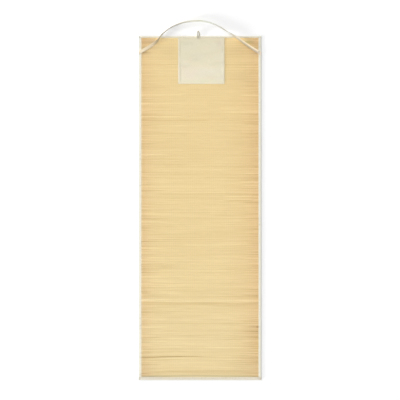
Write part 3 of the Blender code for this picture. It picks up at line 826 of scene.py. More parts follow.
class Finish:
    """A material's nodes, with a short call for each kind."""

    def __init__(self, name, roughness):
        self.material = bpy.data.materials.new(name)
        self.material.use_nodes = True
        self.tree = self.material.node_tree
        self.shader = self.tree.nodes["Principled BSDF"]
        self.set("Roughness", roughness)
        self.set("Specular IOR Level", 0.25)

    def set(self, name, value):
        self.join(value, self.shader.inputs[name])

    def join(self, value, socket):
        if isinstance(value, bpy.types.NodeSocket):
            self.tree.links.new(value, socket)
        else:
            socket.default_value = value

    def add(self, kind, inputs=(), **settings):
        """A new node's outputs. Inputs holds a value or another node's output for each of its sockets."""
        made = self.tree.nodes.new("ShaderNode" + kind)
        for key, value in settings.items():
            setattr(made, key, value)
        for key, value in dict(inputs).items():
            self.join(value, made.inputs[key])
        return made.outputs

    def math(self, operation, *values):
        return self.add("Math", enumerate(values), operation=operation)[0]

    def times(self, first, second):
        return self.math("MULTIPLY", first, second)

    def slope(self, value, rise, start):
        """Start, plus rise for each unit of value."""
        return self.math("MULTIPLY_ADD", value, rise, start)

    def swing(self, value, centre, amount):
        """1 plus amount for each unit that value lies above its centre."""
        return self.slope(self.math("SUBTRACT", value, centre), amount, 1.0)

    def attribute(self, name, output="Fac"):
        return self.add("Attribute", attribute_name=name)[output]

    def place(self, kind):
        """X, Y and Z of Object coordinates, or of the piece's own map."""
        if kind == "Object":
            source = self.add("TexCoord")["Object"]
        else:
            source = self.add("UVMap", uv_map=kind)["UV"]
        return self.add("SeparateXYZ", {0: source})

    def stretch(self, x, y, z, scales):
        """A point whose three values are scaled apart."""
        scaled = [self.times(value, scale) for value, scale in zip((x, y, z), scales)]
        return self.add("CombineXYZ", enumerate(scaled))[0]

    def noise(self, point, detail=2.0, roughness=0.5):
        inputs = {"Scale": 1.0, "Detail": detail, "Roughness": roughness, "Vector": point}
        return self.add("TexNoise", inputs)["Fac"]

    def mix(self, factor, first, second):
        """A colour between two."""
        return self.add("Mix", {0: factor, 6: first, 7: second}, data_type="RGBA")[2]

    def shade(self, colour, factor):
        """A colour made lighter or darker."""
        return self.add("VectorMath", {0: colour, "Scale": factor}, operation="SCALE")[0]

    def tint(self, colour):
        """A colour with the piece's own painted tint."""
        painted = self.attribute("tint", "Vector")
        return self.add("VectorMath", {0: colour, 1: painted}, operation="MULTIPLY")[0]

    def ramp(self, factor, stops):
        """The colour that stops, as positions and colours, give to each factor."""
        blend = self.add("ValToRGB", {0: factor})["Color"]
        elements = blend.node.color_ramp.elements
        while len(elements) < len(stops):
            elements.new(0.5)
        for element, (position, colour) in zip(elements, stops):
            element.position = position
            element.color = (*colour, 1.0)
        return blend

    def bump(self, height, distance, below=None):
        inputs = {"Strength": 1.0, "Distance": distance, "Height": height}
        if below is not None:
            inputs["Normal"] = below
        return self.add("Bump", inputs)[0]


def tinted(colour, factors):
    return tuple(min(part * factor, 1.0) for part, factor in zip(colour, factors))


def straw_finish(settings):
    """Dry straw: streaked along each stalk, browned in places, with fine fibres, and a painted shade along
    each warp thread's line.
    """
    finish = Finish("straw", 0.55)
    x, y, z = finish.place("Object")
    own = finish.attribute("straw")
    along = finish.noise(finish.stretch(x, own, 0.0, (5.0, 470.0, 0.0)), detail=2.5)
    away = finish.math("ADD", finish.times(along, 1.1), finish.times(own, 0.16))
    away = finish.math("SUBTRACT", away, USUAL_TONE)
    tone = finish.slope(away, finish.attribute("lively"), USUAL_TONE)
    stops = [(stop, tinted(settings.colour, factors)) for stop, factors in STRAW_TONES.items()]
    colour = finish.tint(finish.ramp(tone, stops))
    fibres = finish.noise(finish.stretch(x, y, z, (30.0, 2200.0, 2200.0)))
    wave = finish.math("COSINE", finish.times(x, math.pi / settings.warp_pitch))
    # Painted shade in a thin line where each warp thread crosses the straws.
    warp_line_shade = finish.math("POWER", finish.math("ABSOLUTE", wave), 24.0)
    shade = finish.times(finish.swing(fibres, 0.5, 0.22), finish.slope(warp_line_shade, -0.05, 1.0))
    finish.set("Base Color", finish.shade(colour, shade))
    finish.set("Roughness", finish.slope(fibres, 0.30, 0.42))
    crimp = finish.bump(finish.times(wave, finish.attribute("turn")), 0.00012)
    finish.set("Normal", finish.bump(fibres, 0.00012, crimp))
    return finish.material


def cloth_finish(name, colour, pitch, depth, grime=0.05):
    """Plain woven cotton: crossing threads, a little uneven, with soft marks of handling."""
    finish = Finish(name, 0.88)
    u, v, _ = finish.place("Cloth")
    x, y, z = finish.place("Object")
    turns = 2.0 * math.pi / pitch
    weft, warp = (finish.math("SINE", finish.times(way, turns)) for way in (u, v))
    weave = finish.times(weft, warp)
    thick_weft = finish.noise(finish.stretch(u, v, 0.0, (900.0, 60.0, 0.0)))
    thick_warp = finish.noise(finish.stretch(u, v, 0.0, (60.0, 900.0, 0.0)))
    slub = finish.times(thick_weft, thick_warp)
    marks = finish.noise(finish.stretch(x, y, z, (14.0, 22.0, 14.0)), detail=4.0, roughness=0.6)
    shade = finish.times(finish.slope(weave, 0.035, 1.0), finish.swing(slub, 0.25, 0.25))
    shade = finish.times(shade, finish.swing(marks, 0.5, grime * 2.0))
    paler = (*tinted(colour, (1.03, 1.04, 1.06)), 1.0)
    darker = (*tinted(colour, (0.93, 0.90, 0.82)), 1.0)
    base = finish.tint(finish.mix(marks, paler, darker))
    finish.set("Base Color", finish.shade(base, shade))
    finish.set("Roughness", finish.slope(slub, 0.25, 0.80))
    finish.set("Normal", finish.bump(weave, depth, finish.bump(slub, depth * 1.5)))
    finish.set("Sheen Weight", 0.12)
    return finish.material


def thread_finish(name, colour):
    """Twisted cotton thread."""
    finish = Finish(name, 0.85)
    x, y, z = finish.place("Object")
    across = finish.math("ADD", finish.math("ADD", x, y), z)
    twist = finish.math("SINE", finish.times(across, 9000.0))
    fuzz = finish.noise(finish.stretch(x, y, z, (400.0, 400.0, 400.0)))
    shade = finish.times(finish.slope(twist, 0.05, 1.0), finish.swing(fuzz, 0.5, 0.3))
    finish.set("Base Color", finish.shade(colour, shade))
    finish.set("Roughness", finish.slope(fuzz, 0.2, 0.75))
    finish.set("Normal", finish.bump(twist, 0.00005))
    return finish.material


# Woven sheet

def lay_straws(settings):
    """Middles and widths of all the straws, from the mat's bottom edge to its top."""
    random = np.random.default_rng(11)
    count = round(WOVEN_LENGTH / settings.pitch)
    widths = np.clip(random.normal(1.0, settings.unevenness, count), *STRAW_WIDTHS)
    widths *= WOVEN_LENGTH / widths.sum()
    edges = PANEL.low.y + np.concatenate(([0.0], np.cumsum(widths)))
    return (edges[1:] + edges[:-1]) / 2, widths


def streak_and_crease_shade_at(x, y):
    """How the streaks, and the painted shade and light along the creases, lighten or darken the straw."""
    shade = np.ones(np.broadcast(x, y).shape)
    for (x_from, x_to, half_width), streaks in STREAKS_AND_CREASE_SHADE.items():
        bumps = sum(amount * round_bump(y - at, half_width) for at, amount in streaks.items())
        shade = shade + bumps * window(x, x_from, x_to, STREAK_FADE)
    return shade


def liveliness_at(x, y):
    """How much the straws differ: least in the mat's middle, most beside its bindings and at its foot."""
    middle, sides, head = LIVELINESS
    return (middle + sides * (x / HALF_WIDTH) ** 2) * (1.0 - head * y / HALF_LENGTH)


def make_straws(settings):
    """Every straw of the mat, side by side, with its own width, tone and slight bends."""
    points, faces = model_straw()
    middles, widths = lay_straws(settings)
    count = len(middles)
    random = np.random.default_rng(12)
    places = points[:, 0] + 0.5

    def curve(knots):
        return random_curve(random, count, knots, places)

    x = PANEL.low.x + places[None, :] * STRAW_LENGTH
    middle = middles[:, None]
    under, top = sheet_levels(x, middle)
    height = (top - under - 2 * WARP_PRESS) * random.uniform(STRAW_FLATTEST, 1.0, (count, 1))
    tilt = random.normal(0.0, STRAW_TILT, (count, 1)) + STRAW_TWIST * curve(8)
    swell = 1.0 + STRAW_SWELL * curve(7)
    across = points[:, 1][None, :] * widths[:, None] * swell * STRAW_OVERLAP
    y = middle + bow_at(x, middle) + STRAW_WANDER * curve(6) + across
    lie = (under + top) / 2 + STRAW_LIFT * curve(6)
    z = lie + points[:, 2][None, :] * height + across * tilt
    bunch = BUNCH_TONE * random_curve(random, 1, BUNCHES, (middles - PANEL.low.y) / WOVEN_LENGTH)[0]
    own = OWN_TONE * random.normal(0.0, 1.0, count)
    drift = LONG_TONE * curve(4) + SHORT_TONE * curve(14)
    lively = liveliness_at(x, middle)
    shade = streak_and_crease_shade_at(x, middle) * (1.0 + lively * ((bunch + own)[:, None] + drift))
    side = np.where(np.arange(count) % 2 == 0, -1.0, 1.0)
    spread = np.ones((1, len(points)))
    values = {
        "straw": random.uniform(0.0, 1.0, (count, 1)) * spread,
        "tint": stains_light_and_shade_at(x, middle, STRAW_STAINS_LIGHT_AND_SHADE) * shade[..., None] ** SHADE_HUE,
        "turn": side[:, None] * spread,
        "lively": lively,
    }
    cloud = np.stack([np.broadcast_to(x, y.shape), y, z], axis=-1).reshape(-1, 3)
    joined = repeat_faces(faces, count, len(points))
    maps = {"OFBake": straw_strips(points, faces, count)}
    return add_mesh("straws", cloud, joined, straw_finish(settings), maps, values)


def straw_strips(points, faces, count):
    """A map that gives each straw a strip of its own, unrolled, in columns side by side."""
    column, row = np.divmod(np.arange(count), math.ceil(count / STRIP_COLUMNS))
    rows = row.max() + 1
    rolled = np.round(np.arctan2(-points[:, 2], points[:, 1]) / (2.0 * math.pi), 6) % 1.0
    places = []
    for part in faces:
        u = STRIP_MARGIN + (1.0 - 2.0 * STRIP_MARGIN) * (points[part, 0] + 0.5)
        v = rolled[part]
        v = v + ((v.max(axis=1, keepdims=True) - v > 0.5) & (v < 0.5))
        is_end = np.ptp(points[part, 0], axis=1) < 1e-6
        side = np.sign(points[part[is_end], 0])
        u[is_end] = 0.5 + side * (0.5 - STRIP_MARGIN * (0.5 + 0.4 * points[part[is_end], 1]))
        v[is_end] = 0.5 + 0.8 * points[part[is_end], 2]
        u = (u[None] + column[:, None, None]) / STRIP_COLUMNS
        v = (STRIP_MARGIN + (1.0 - 2.0 * STRIP_MARGIN) * v[None] + row[:, None, None]) / rows
        places.append(np.stack([u, v], axis=-1).reshape(-1, 2))
    return np.concatenate(places)


def make_warp(settings):
    """The cotton threads that cross the straws, over one and under the next, in bands side by side."""
    middles, widths = lay_straws(settings)
    random = np.random.default_rng(13)
    reach = int((HALF_WIDTH - WARP_MARGIN) / settings.warp_pitch)
    numbers = np.arange(-reach, reach + 1)
    material = thread_finish("warp_cotton", THREAD_COLOURS["warp"])
    foot = -0.5 * WARP_RADIUS
    half = WARP_HALF_WIDTH
    section = np.array([(-half, 0.0, foot), (half, 0.0, foot), (0.0, 0.0, WARP_RADIUS)])
    quads, caps = tube_faces(2 * len(middles), len(section))
    bands = []
    for band, chosen in zip(WARP_BANDS, np.array_split(numbers, len(WARP_BANDS))):
        threads = []
        for number in chosen:
            x = number * settings.warp_pitch
            is_over = (np.arange(len(middles)) + number) % 2 == 0
            under, top = sheet_levels(x, middles)
            level = np.repeat(np.where(is_over, top - WARP_RADIUS, under + WARP_RADIUS), 2)
            line = np.stack([middles - WARP_FLAT * widths, middles + WARP_FLAT * widths], axis=-1).ravel()
            line = line + np.repeat(bow_at(x, middles), 2)
            stray = x + WARP_STRAY * random.normal(0.0, 1.0, len(line))
            threads.append(np.stack([stray, line, level], axis=-1)[:, None] + section)
        cloud = np.concatenate(threads).reshape(-1, 3)
        joined = repeat_faces([quads, caps], len(threads), threads[0].size // 3)
        piece = add_mesh("warp_threads_" + band, cloud, joined, material)
        face_outwards(piece)
        bands.append(piece)
    return bands


# Bindings

Edge = namedtuple("Edge", "along inward fold start end width")


def mat_edge(box, along, inward):
    """An edge of the mat. Along is the axis that it runs along, and inward is 1 or -1, into the mat."""
    across = 1 - along
    fold = (box.low if inward > 0 else box.high)[across]
    return Edge(along, inward, fold, box.low[along], box.high[along], (box.high - box.low)[across])


def binding_outline(width):
    """A folded strip's outline as (inward, up, top, seam) rows, from its upper inner edge round the fold.

    Inward is the distance from the fold, top is 1 on the upper layer's face, and seam is 1 at the seam.
    """
    radius = BINDING_HEIGHT / 2
    seam = width - SEAM_INSET
    beside_seam = BINDING_HEIGHT - FACE_SINK
    upper = [
        (width - 0.0001, BINDING_HEIGHT - 0.0005, 1.0, 0.4),
        (width - 0.0007, BINDING_HEIGHT - 0.00012, 1.0, 0.4),
        (seam + 0.0009, beside_seam, 1.0, 0.2),
        (seam, beside_seam, 1.0, 1.0),
        (seam - 0.0009, beside_seam, 1.0, 0.2),
        ((seam + radius) / 2, BINDING_HEIGHT, 1.0, 0.0),
    ]
    fold = []
    for i in range(FOLD_STEPS + 1):
        angle = math.pi * (0.5 - i / FOLD_STEPS)
        fold.append((radius * (1.0 - math.cos(angle)), radius * (1.0 + math.sin(angle)), 0.0, 0.0))
    lower = [(inward, BINDING_HEIGHT - up, -top, near) for inward, up, top, near in reversed(upper)]
    low = BINDING_CLOTH - 0.0001
    corner = [(width, low), (0.0022, low), (0.0013, low + 0.0004)]
    inner = [(inward, up, 0.0, 0.0) for inward, up in corner]
    inner += [(inward, BINDING_HEIGHT - up, 0.0, 0.0) for inward, up in reversed(corner)]
    return np.array(upper + fold + lower + inner)


def pucker_curve(random, places, length, chosen):
    """Depth of the puckers along a binding: small dips at uneven distances, and deeper chosen ones."""
    depth = np.zeros(len(places))
    chosen_depth, chosen_half = CHOSEN_PUCKER
    for at in chosen:
        depth = np.maximum(depth, chosen_depth * round_bump(places - at, chosen_half))
    at = 0.0
    while at < length:
        at += PUCKER_SPACING * random.uniform(0.4, 1.7)
        half_width = random.uniform(0.0025, 0.0055)
        depth = np.maximum(depth, random.uniform(0.15, 1.0) ** 1.5 * round_bump(places - at, half_width))
    return depth


def make_binding(name, edge, settings, seed, tint, puckers):
    """A cotton strip folded over one edge and sewn down."""
    random = np.random.default_rng(seed)
    length = edge.end - edge.start
    places = np.linspace(0.0, length, round(length / BINDING_STEP) + 1)
    if edge.along == 0:
        places = np.sort(np.concatenate([places, [END_TUCK, length - END_TUCK]]))
    outline = binding_outline(edge.width)
    across, up, face, seam = outline.T
    pucker = pucker_curve(random, places, length, [at - edge.start for at in puckers])[:, None]
    depth = pucker * settings.pucker
    waver = INNER_EDGE_WAVER * random_curve(random, 1, round(length / WAVER_RUN), places / length)[0]
    roll = FOLD_ROLL * random_curve(random, 1, round(length / ROLL_RUN), places / length)[0]
    q = across + (waver[:, None] - 2.0 * depth) * (across > edge.width / 2)
    q = q + np.maximum(roll, 0.0)[:, None] * np.exp(-across / ROLL_REACH)
    drawn = depth * (PUCKER_AWAY + (1.0 - PUCKER_AWAY) * seam)
    z = up - (drawn + SEAM_DIP * (seam > 0.9)) * face
    if edge.along == 0:
        shut = np.clip(1.0 - np.minimum(places, length - places) / END_TUCK, 0.0, 1.0)
        is_inner = np.arange(len(outline)) >= len(outline) - INNER_POINTS
        keep = 1.0 - shut[:, None] * np.where(is_inner, SHUT_INSIDE, SHUT_CLOTH)
        z = BINDING_HEIGHT / 2 + (z - BINDING_HEIGHT / 2) * keep
    travel = np.repeat((edge.start + places)[:, None], len(outline), axis=1)
    inside = edge.fold + edge.inward * q
    x, y = (travel, inside) if edge.along == 0 else (inside, travel)
    # Each binding gets its own copy of the cotton, paler or darker by its painted light and shade.
    material = cloth_finish(name + "_cotton", tinted(settings.colour, tint), pitch=0.0006, depth=0.00006)
    # Painted shade in the puckers, over the binding's part away from its fold.
    shade = 1.0 - PUCKER_PAINTED_SHADE * pucker * (across > edge.width / 3)
    values = {"tint": stains_light_and_shade_at(x, y, BINDING_STAINS_LIGHT_AND_SHADE) * shade[..., None]}
    return add_tube(name, np.stack([x, y, z], axis=-1), material, values)


def finish_piece(piece, node):
    """Places a finished piece on the mat's one body, in the place of a plain solid."""
    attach(piece, "root")
    if node:
        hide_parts(node)


def sew(name, seams, thickness, cloth):
    """Stitches along seams, placed on the mat with their cloth.

    A seam is (start, end, pitch, upside_down), with its points on the cloth.
    """
    points, faces = model_stitch()
    random = np.random.default_rng(len(name))
    clouds = []
    for start, end, pitch, upside_down in seams:
        start, end = Vector(start), Vector(end)
        run = end - start
        count = max(round(run.length / pitch), 1)
        along = np.array(run.normalized())
        across = np.array(Vector((-run.y, run.x, 0.0)).normalized())
        upward = np.array((0.0, 0.0, -STITCH_FLATNESS if upside_down else STITCH_FLATNESS))
        for i in range(count):
            middle = np.array(start) + np.array(run) * (i + 0.5) / count
            middle = middle + across * random.normal(0.0, STITCH_STRAY)
            size = pitch * random.uniform(*STITCH_SHARE)
            axes = np.stack([along * size, across * thickness, upward * thickness])
            clouds.append(middle + points @ axes)
    joined = repeat_faces(faces, len(clouds), len(points))
    material = thread_finish(name + "_thread", THREAD_COLOURS[cloth])
    piece = add_mesh(name, np.concatenate(clouds), joined, material)
    face_outwards(piece)
    finish_piece(piece, None)
    return piece


# Patch

def patch_inside(x, y):
    """Distance from the patch's nearest edge."""
    inside_x = np.minimum(x - PATCH.low.x, PATCH.high.x - x)
    inside_y = np.minimum(y - PATCH.low.y, PATCH.high.y - y)
    return np.minimum(inside_x, inside_y)


def fold_at(x, y):
    """Height of the patch's soft folds, which die out before its sewn edges."""
    total = np.zeros(x.shape)
    for x_from, y_from, x_to, y_to, half_width, height in FOLDS:
        run_x, run_y = x_to - x_from, y_to - y_from
        part = ((x - x_from) * run_x + (y - y_from) * run_y) / (run_x**2 + run_y**2)
        part = np.clip(part, 0.0, 1.0)
        away = np.hypot(x - x_from - part * run_x, y - y_from - part * run_y)
        total += height * round_bump(away, half_width)
    return total * smooth_step((patch_inside(x, y) - HEM_WIDTH / 2) / HEM_WIDTH)


def wrinkle_at(x, y):
    """Fine wrinkles of washed cotton, from -1 to 1."""
    values = [
        noise.noise(Vector((px * 22.0 + py * 9.0, py * 48.0, 0.3)))
        + 0.5 * noise.noise(Vector((px * 70.0, py * 110.0 - px * 30.0, 4.1)))
        for px, py in zip(x.ravel(), y.ravel())
    ]
    return np.array(values).reshape(x.shape)


def edged_places(low, high):
    """Even places from low to high, with closer ones near both ends."""
    even = np.linspace(low, high, round((high - low) / PATCH_STEP) + 1)
    near = np.array(PATCH_EDGE_CUTS)
    return np.sort(np.concatenate([even, low + near, high - near]))


def make_patch(settings):
    """The cloth patch: one sheet with turned hems, soft folds and fine wrinkles."""
    xs = edged_places(PATCH.low.x, PATCH.high.x)
    ys = edged_places(PATCH.low.y, PATCH.high.y)
    x, y = np.meshgrid(xs, ys)
    inside = patch_inside(x, y)
    straw_top = np.maximum(sheet_levels(x, y)[1], SHEET_THICKNESS)
    wrinkle = settings.wrinkle * wrinkle_at(x, y) * smooth_step((inside - WRINKLES_FROM) / WRINKLE_RUN)
    under = straw_top + GAP + fold_at(x, y) + np.maximum(wrinkle, -0.8 * GAP)
    hem = 1.0 - smooth_step((inside - HEM_WIDTH) / HEM_SHOULDER)
    edge = np.sqrt(np.clip(inside / PATCH_ROUNDING, 0.0, 1.0))
    seam = round_bump(inside - PATCH_SEAM_INSET, PATCH_SEAM_REACH)
    thickness = PATCH_CLOTH + HEM_RISE * hem
    top = under + thickness * (HEM_EDGE + (1.0 - HEM_EDGE) * edge) - PATCH_SEAM_DIP * seam
    paler = 1.0 - PATCH_FADE * (y - (PATCH.low.y + PATCH.high.y) / 2)
    tint = stains_light_and_shade_at(x, y, PATCH_STAINS_LIGHT_AND_SHADE) * paler[..., None]
    material = cloth_finish("patch_cotton", settings.patch_colour, pitch=0.0008, depth=0.00008, grime=0.06)
    return add_sheet("patch_cloth", xs, ys, under, top, material, tint)


# Tapes

def tape_outline(width, thickness):
    """Half of a woven tape's section is its flat face, and its two selvedges are round."""
    side, half = width / 2, thickness / 2
    edge = min(0.0007, side / 3)
    row = [(-side, 0.0), (-side + 0.3 * edge, -0.7 * half), (-side + edge, -half)]
    row += [(-side / 3, -0.96 * half), (side / 3, -0.96 * half)]
    row += [(side - edge, -half), (side - 0.3 * edge, -0.7 * half), (side, 0.0)]
    over = [(-across, -up) for across, up in row[1:-1]]
    return np.array(row + over)


# A tape's section: its middle, the ways across and through it, and the distance from the tape's start
Ring = namedtuple("Ring", "middle wide thick travelled")


def tape_rings(route, thickness, mitre_ends):
    """Rings of points round a tape along its route, their places from edge to edge, and their frames."""
    rows = smooth_rows(route, TAPE_STEPS)
    travelled = np.linalg.norm(np.diff(rows[:, :2], axis=0), axis=1)
    travelled = np.concatenate(([0.0], np.cumsum(travelled)))
    upright = Vector((0.0, 0.0, 1.0))
    frames = []
    rings = []
    sides = []
    for i, (x, y, width, turn, under) in enumerate(rows):
        ahead, behind = rows[min(i + 1, len(rows) - 1)], rows[max(i - 1, 0)]
        tangent = Vector((ahead[0] - behind[0], ahead[1] - behind[1], 0.0)).normalized()
        across = Vector((-tangent.y, tangent.x, 0.0))
        if mitre_ends:
            to_end = min(travelled[i], travelled[-1] - travelled[i])
            along_edge = Vector((0.0, 1.0 / tangent.x, 0.0))
            across = across.lerp(along_edge, float(smooth_step(1.0 - to_end / MITRE_RUN)))
        cosine, sine = math.cos(math.radians(turn)), math.sin(math.radians(turn))
        middle = np.array((x, y, under + abs(sine) * width / 2 + abs(cosine) * thickness / 2))
        wide = np.array(across * cosine + upright * sine)
        thick = np.array(upright * cosine - across * sine)
        outline = tape_outline(width, thickness)
        rings.append(middle + outline[:, 0, None] * wide + outline[:, 1, None] * thick)
        frames.append(Ring(middle, wide, thick, travelled[i]))
        sides.append(outline[:, 0] / width + 0.5)
    return np.array(rings), np.array(sides), frames


def seam_across(frames, inset, thickness, width):
    """A row of stitches across a tape's upper face, so far from its end."""
    ring = min(frames, key=lambda frame: abs(frame.travelled - inset))
    upper = ring.middle + ring.thick * math.copysign(thickness / 2, ring.thick[2])
    reach = ring.wide * (width / 2 - TAPE_SEAM_MARGIN)
    return tuple(upper - reach), tuple(upper + reach), TAPE_STITCH_PITCH, False


def strap_tone_light_and_shade(x, edge):
    """The tint at x of the strap's edge nearer the mat's foot, 0, or of its other edge, -1."""
    tones = np.array([pair[edge] for pair in STRAP_TONES_LIGHT_AND_SHADE.values()])
    return np.stack([np.interp(x, list(STRAP_TONES_LIGHT_AND_SHADE), part) for part in tones.T], axis=-1)


def strap_tint_light_and_shade(rings, sides):
    """The strap's painted light and shade: it runs from tone to tone, and from one edge to the other."""
    x = rings[..., 0].mean(axis=1)
    turned = np.where((x > STRAP_FLIP_X)[:, None], 1.0 - sides, sides)[..., None]
    part = smooth_step((turned - STRAP_EDGE[0]) / STRAP_EDGE[1])
    return strap_tone_light_and_shade(x, 0)[:, None] * (1.0 - part) + strap_tone_light_and_shade(x, -1)[:, None] * part


# Stage

def aim_lamp(azimuth, elevation):
    """Turn of a lamp that shines from an azimuth, 0 from the left and 90 from above the mat's top end."""
    a, e = math.radians(azimuth), math.radians(elevation)
    source = Vector((-math.cos(a) * math.cos(e), math.sin(a) * math.cos(e), math.sin(e)))
    return source.to_track_quat("Z", "Y").to_euler()


def add_lamp(name, azimuth, elevation, spread, strength):
    bpy.ops.object.light_add(type="SUN", location=(0, 0, 3), rotation=aim_lamp(azimuth, elevation))
    lamp = bpy.context.object
    lamp.name = name
    lamp.data.energy = strength
    lamp.data.angle = math.radians(spread)


def add_camera():
    distance = PICTURE_WIDTH * CAMERA_LENS / CAMERA_SENSOR
    bpy.ops.object.camera_add(location=(0.0, PICTURE_MIDDLE_Y, distance), rotation=(0, 0, 0))
    camera = bpy.context.object
    camera.data.lens = CAMERA_LENS
    camera.data.sensor_width = CAMERA_SENSOR
    camera.data.clip_end = 100.0
    bpy.context.scene.camera = camera


def light_the_air(strength):
    """Even fill light, and a pale background where the floor ends."""
    world = bpy.data.worlds.new("studio")
    bpy.context.scene.world = world
    world.use_nodes = True
    tree = world.node_tree
    fill = tree.nodes["Background"]
    fill.inputs["Color"].default_value = (1.0, 1.0, 1.0, 1.0)
    fill.inputs["Strength"].default_value = strength
    seen = tree.nodes.new("ShaderNodeBackground")
    seen.inputs["Color"].default_value = (1.0, 1.0, 1.0, 1.0)
    chooser = tree.nodes.new("ShaderNodeMixShader")
    path = tree.nodes.new("ShaderNodeLightPath")
    tree.links.new(path.outputs["Is Camera Ray"], chooser.inputs[0])
    tree.links.new(fill.outputs[0], chooser.inputs[1])
    tree.links.new(seen.outputs[0], chooser.inputs[2])
    tree.links.new(chooser.outputs[0], tree.nodes["World Output"].inputs[0])


def make_floor(settings):
    bpy.ops.object.select_all(action="DESELECT")
    bpy.ops.mesh.primitive_plane_add(size=FLOOR_SIZE, location=(0, 0, 0))
    floor = bpy.context.object
    floor.name = "floor"
    finish = Finish("pale_floor", 0.9)
    finish.set("Base Color", (*settings.floor_colour, 1.0))
    finish.set("Specular IOR Level", 0.0)
    floor.data.materials.append(finish.material)


# Operators

class MAT_OT_straws(bpy.types.Operator):
    """Lay the straws and weave them on their cotton threads"""

    bl_idname = "straw_mat.straws"
    bl_label = "Weave the straws"

    def execute(self, context):
        settings = context.scene.straw_mat_straw
        straws = make_straws(settings)
        finish_piece(straws, "straw_panel")
        threads = make_warp(settings)
        for thread in threads:
            finish_piece(thread, None)
        return {"FINISHED"}


class MAT_OT_bindings(bpy.types.Operator):
    """Fold the cotton bindings over the four edges and sew them down"""

    bl_idname = "straw_mat.bindings"
    bl_label = "Bind the edges"

    def execute(self, context):
        settings = context.scene.straw_mat_binding
        # The four tints are painted light and shade: the left binding paler as if lit, the right, top and
        # bottom ones darker as if shaded.
        plans = (
            ("binding_left", mat_edge(LEFT, 1, 1), 21, (1.10, 1.10, 1.08), LEFT_PUCKERS),
            ("binding_right", mat_edge(RIGHT, 1, -1), 22, (0.91, 0.92, 0.93), RIGHT_PUCKERS),
            ("binding_top", mat_edge(TOP, 0, -1), 23, (0.95, 0.94, 0.92), ()),
            ("binding_bottom", mat_edge(BOTTOM, 0, 1), 24, (0.88, 0.86, 0.87), ()),
        )
        for node, edge, seed, tint, puckers in plans:
            binding = make_binding(node + "_tape", edge, settings, seed, tint, puckers)
            finish_piece(binding, node)
            seam = self.sew_binding(node, edge, settings)
        return {"FINISHED"}

    def sew_binding(self, node, edge, settings):
        """One row of stitches near the inner edge, on both faces."""
        line = edge.fold + edge.inward * (edge.width - SEAM_INSET)
        ends = (edge.start + SEAM_MARGIN, edge.end - SEAM_MARGIN)
        start, end = ((at, line) if edge.along == 0 else (line, at) for at in ends)
        low = FACE_SINK + SEAM_DIP - STITCH_LIFT * settings.stitch_thickness
        high = BINDING_HEIGHT - low
        pitch = settings.stitch_pitch
        seams = [((*start, high), (*end, high), pitch, False), ((*start, low), (*end, low), pitch, True)]
        return sew(node + "_seam", seams, settings.stitch_thickness, "binding")


class MAT_OT_patch(bpy.types.Operator):
    """Hem the cloth patch and sew it to the mat's head"""

    bl_idname = "straw_mat.patch"
    bl_label = "Sew on the patch"

    def execute(self, context):
        sewing = context.scene.straw_mat_binding
        patch = make_patch(context.scene.straw_mat_cloth)
        finish_piece(patch, "patch")
        left, right = PATCH.low.x + PATCH_SEAM_INSET, PATCH.high.x - PATCH_SEAM_INSET
        low, high = PATCH.low.y + PATCH_SEAM_INSET, PATCH.high.y - PATCH_SEAM_INSET
        foot = SHEET_THICKNESS + GAP + PATCH_CLOTH + HEM_RISE
        head = foot + self.head_rise(high)
        corners = [(left, low, foot), (right, low, foot), (right, high, head), (left, high, head)]
        after = corners[1:] + corners[:1]
        seams = [(start, end, sewing.stitch_pitch, False) for start, end in zip(corners, after)]
        seam = sew("patch_seam", seams, sewing.stitch_thickness, "patch")
        return {"FINISHED"}

    def head_rise(self, y):
        """How much higher the straw is beside the top binding."""
        x = (PATCH.low.x + PATCH.high.x) / 2
        return float(max(sheet_levels(np.array(x), np.array(y))[1] - SHEET_THICKNESS, 0.0))


class MAT_OT_strap(bpy.types.Operator):
    """Run the carrying strap from side to side and sew its ends down"""

    bl_idname = "straw_mat.strap"
    bl_label = "Sew on the strap"

    def execute(self, context):
        cloth = context.scene.straw_mat_cloth
        sewing = context.scene.straw_mat_binding
        route = [(x, y, STRAP_WIDTH, turn, under) for x, y, turn, under in STRAP_ROUTE]
        rings, sides, frames = tape_rings(route, STRAP_THICKNESS, True)
        material = cloth_finish("strap_cotton", cloth.strap_colour, pitch=0.0011, depth=0.00010, grime=0.04)
        strap = add_tube("strap_tape", rings, material, {"tint": strap_tint_light_and_shade(rings, sides)})
        finish_piece(strap, "strap")
        insets = STRAP_SEAM_INSETS + tuple(frames[-1].travelled - inset for inset in STRAP_SEAM_INSETS)
        seams = [seam_across(frames, inset, STRAP_THICKNESS, STRAP_WIDTH) for inset in insets]
        seam = sew("strap_seam", seams, sewing.stitch_thickness, "strap")
        return {"FINISHED"}


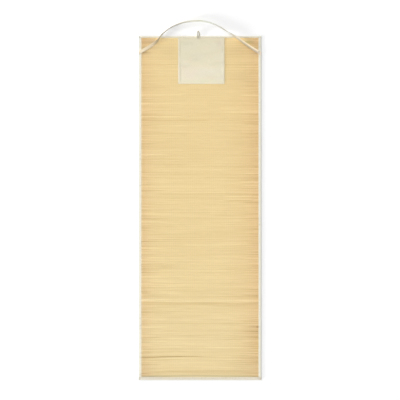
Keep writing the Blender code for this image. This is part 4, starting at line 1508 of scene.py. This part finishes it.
class MAT_OT_tab(bpy.types.Operator):
    """Fold the hanging tab into its loop"""

    bl_idname = "straw_mat.tab"
    bl_label = "Sew on the tab"

    def execute(self, context):
        cloth = context.scene.straw_mat_cloth
        sewing = context.scene.straw_mat_binding
        rings, _, frames = tape_rings(TAB_ROUTE, TAB_THICKNESS, False)
        material = cloth_finish("tab_cotton", cloth.tab_colour, pitch=0.0008, depth=0.00008, grime=0.04)
        tint = stains_light_and_shade_at(rings[..., 0], rings[..., 1], TAB_PAINTED_LIGHT)
        tab = add_tube("tab_tape", rings, material, {"tint": tint})
        finish_piece(tab, "tab_loop")
        level = BINDING_HEIGHT + TAB_STITCH_LIFT * sewing.stitch_thickness
        seams = [
            ((TAB_SEAM_FROM, y, level), (TAB_SEAM_TO, y, level), TAPE_STITCH_PITCH, False)
            for y in TAB_SEAM_ROWS
        ]
        seam = sew("tab_seam", seams, sewing.stitch_thickness, "tab")
        return {"FINISHED"}


class MAT_OT_stage(bpy.types.Operator):
    """Set the pale floor, the soft lights and the camera"""

    bl_idname = "straw_mat.stage"
    bl_label = "Set the stage"

    def execute(self, context):
        settings = context.scene.straw_mat_stage
        make_floor(settings)
        light_the_air(settings.sky)
        for name, (azimuth, elevation, spread) in LAMPS.items():
            add_lamp(name, azimuth, elevation, spread, getattr(settings, name))
        add_camera()
        context.scene.view_settings.view_transform = "Standard"
        return {"FINISHED"}


class MAT_PT_panel(bpy.types.Panel):
    """The mat's steps and settings"""

    bl_idname = "MAT_PT_panel"
    bl_label = "Straw Beach Mat"
    bl_space_type = "VIEW_3D"
    bl_region_type = "UI"
    bl_category = "Straw Mat"

    def draw(self, context):
        for key, group, steps in STEPS:
            box = self.layout.box()
            settings = getattr(context.scene, key)
            for name in group.__annotations__:
                box.prop(settings, name)
            for step in steps:
                box.operator(step.bl_idname)


STEPS = (
    ("straw_mat_straw", StrawSettings, (MAT_OT_straws,)),
    ("straw_mat_binding", BindingSettings, (MAT_OT_bindings,)),
    ("straw_mat_cloth", ClothSettings, (MAT_OT_patch, MAT_OT_strap, MAT_OT_tab)),
    ("straw_mat_stage", StageSettings, (MAT_OT_stage,)),
)


def register():
    for key, group, steps in STEPS:
        bpy.utils.register_class(group)
        setattr(bpy.types.Scene, key, PointerProperty(type=group))
        for step in steps:
            bpy.utils.register_class(step)
    bpy.utils.register_class(MAT_PT_panel)


def unregister():
    bpy.utils.unregister_class(MAT_PT_panel)
    for key, group, steps in reversed(STEPS):
        for step in steps:
            bpy.utils.unregister_class(step)
        delattr(bpy.types.Scene, key)
        bpy.utils.unregister_class(group)


def main():
    register()
    bpy.ops.straw_mat.straws()
    bpy.ops.straw_mat.bindings()
    bpy.ops.straw_mat.patch()
    bpy.ops.straw_mat.strap()
    bpy.ops.straw_mat.tab()
    bpy.ops.straw_mat.stage()


if __name__ == "__main__":
    main()
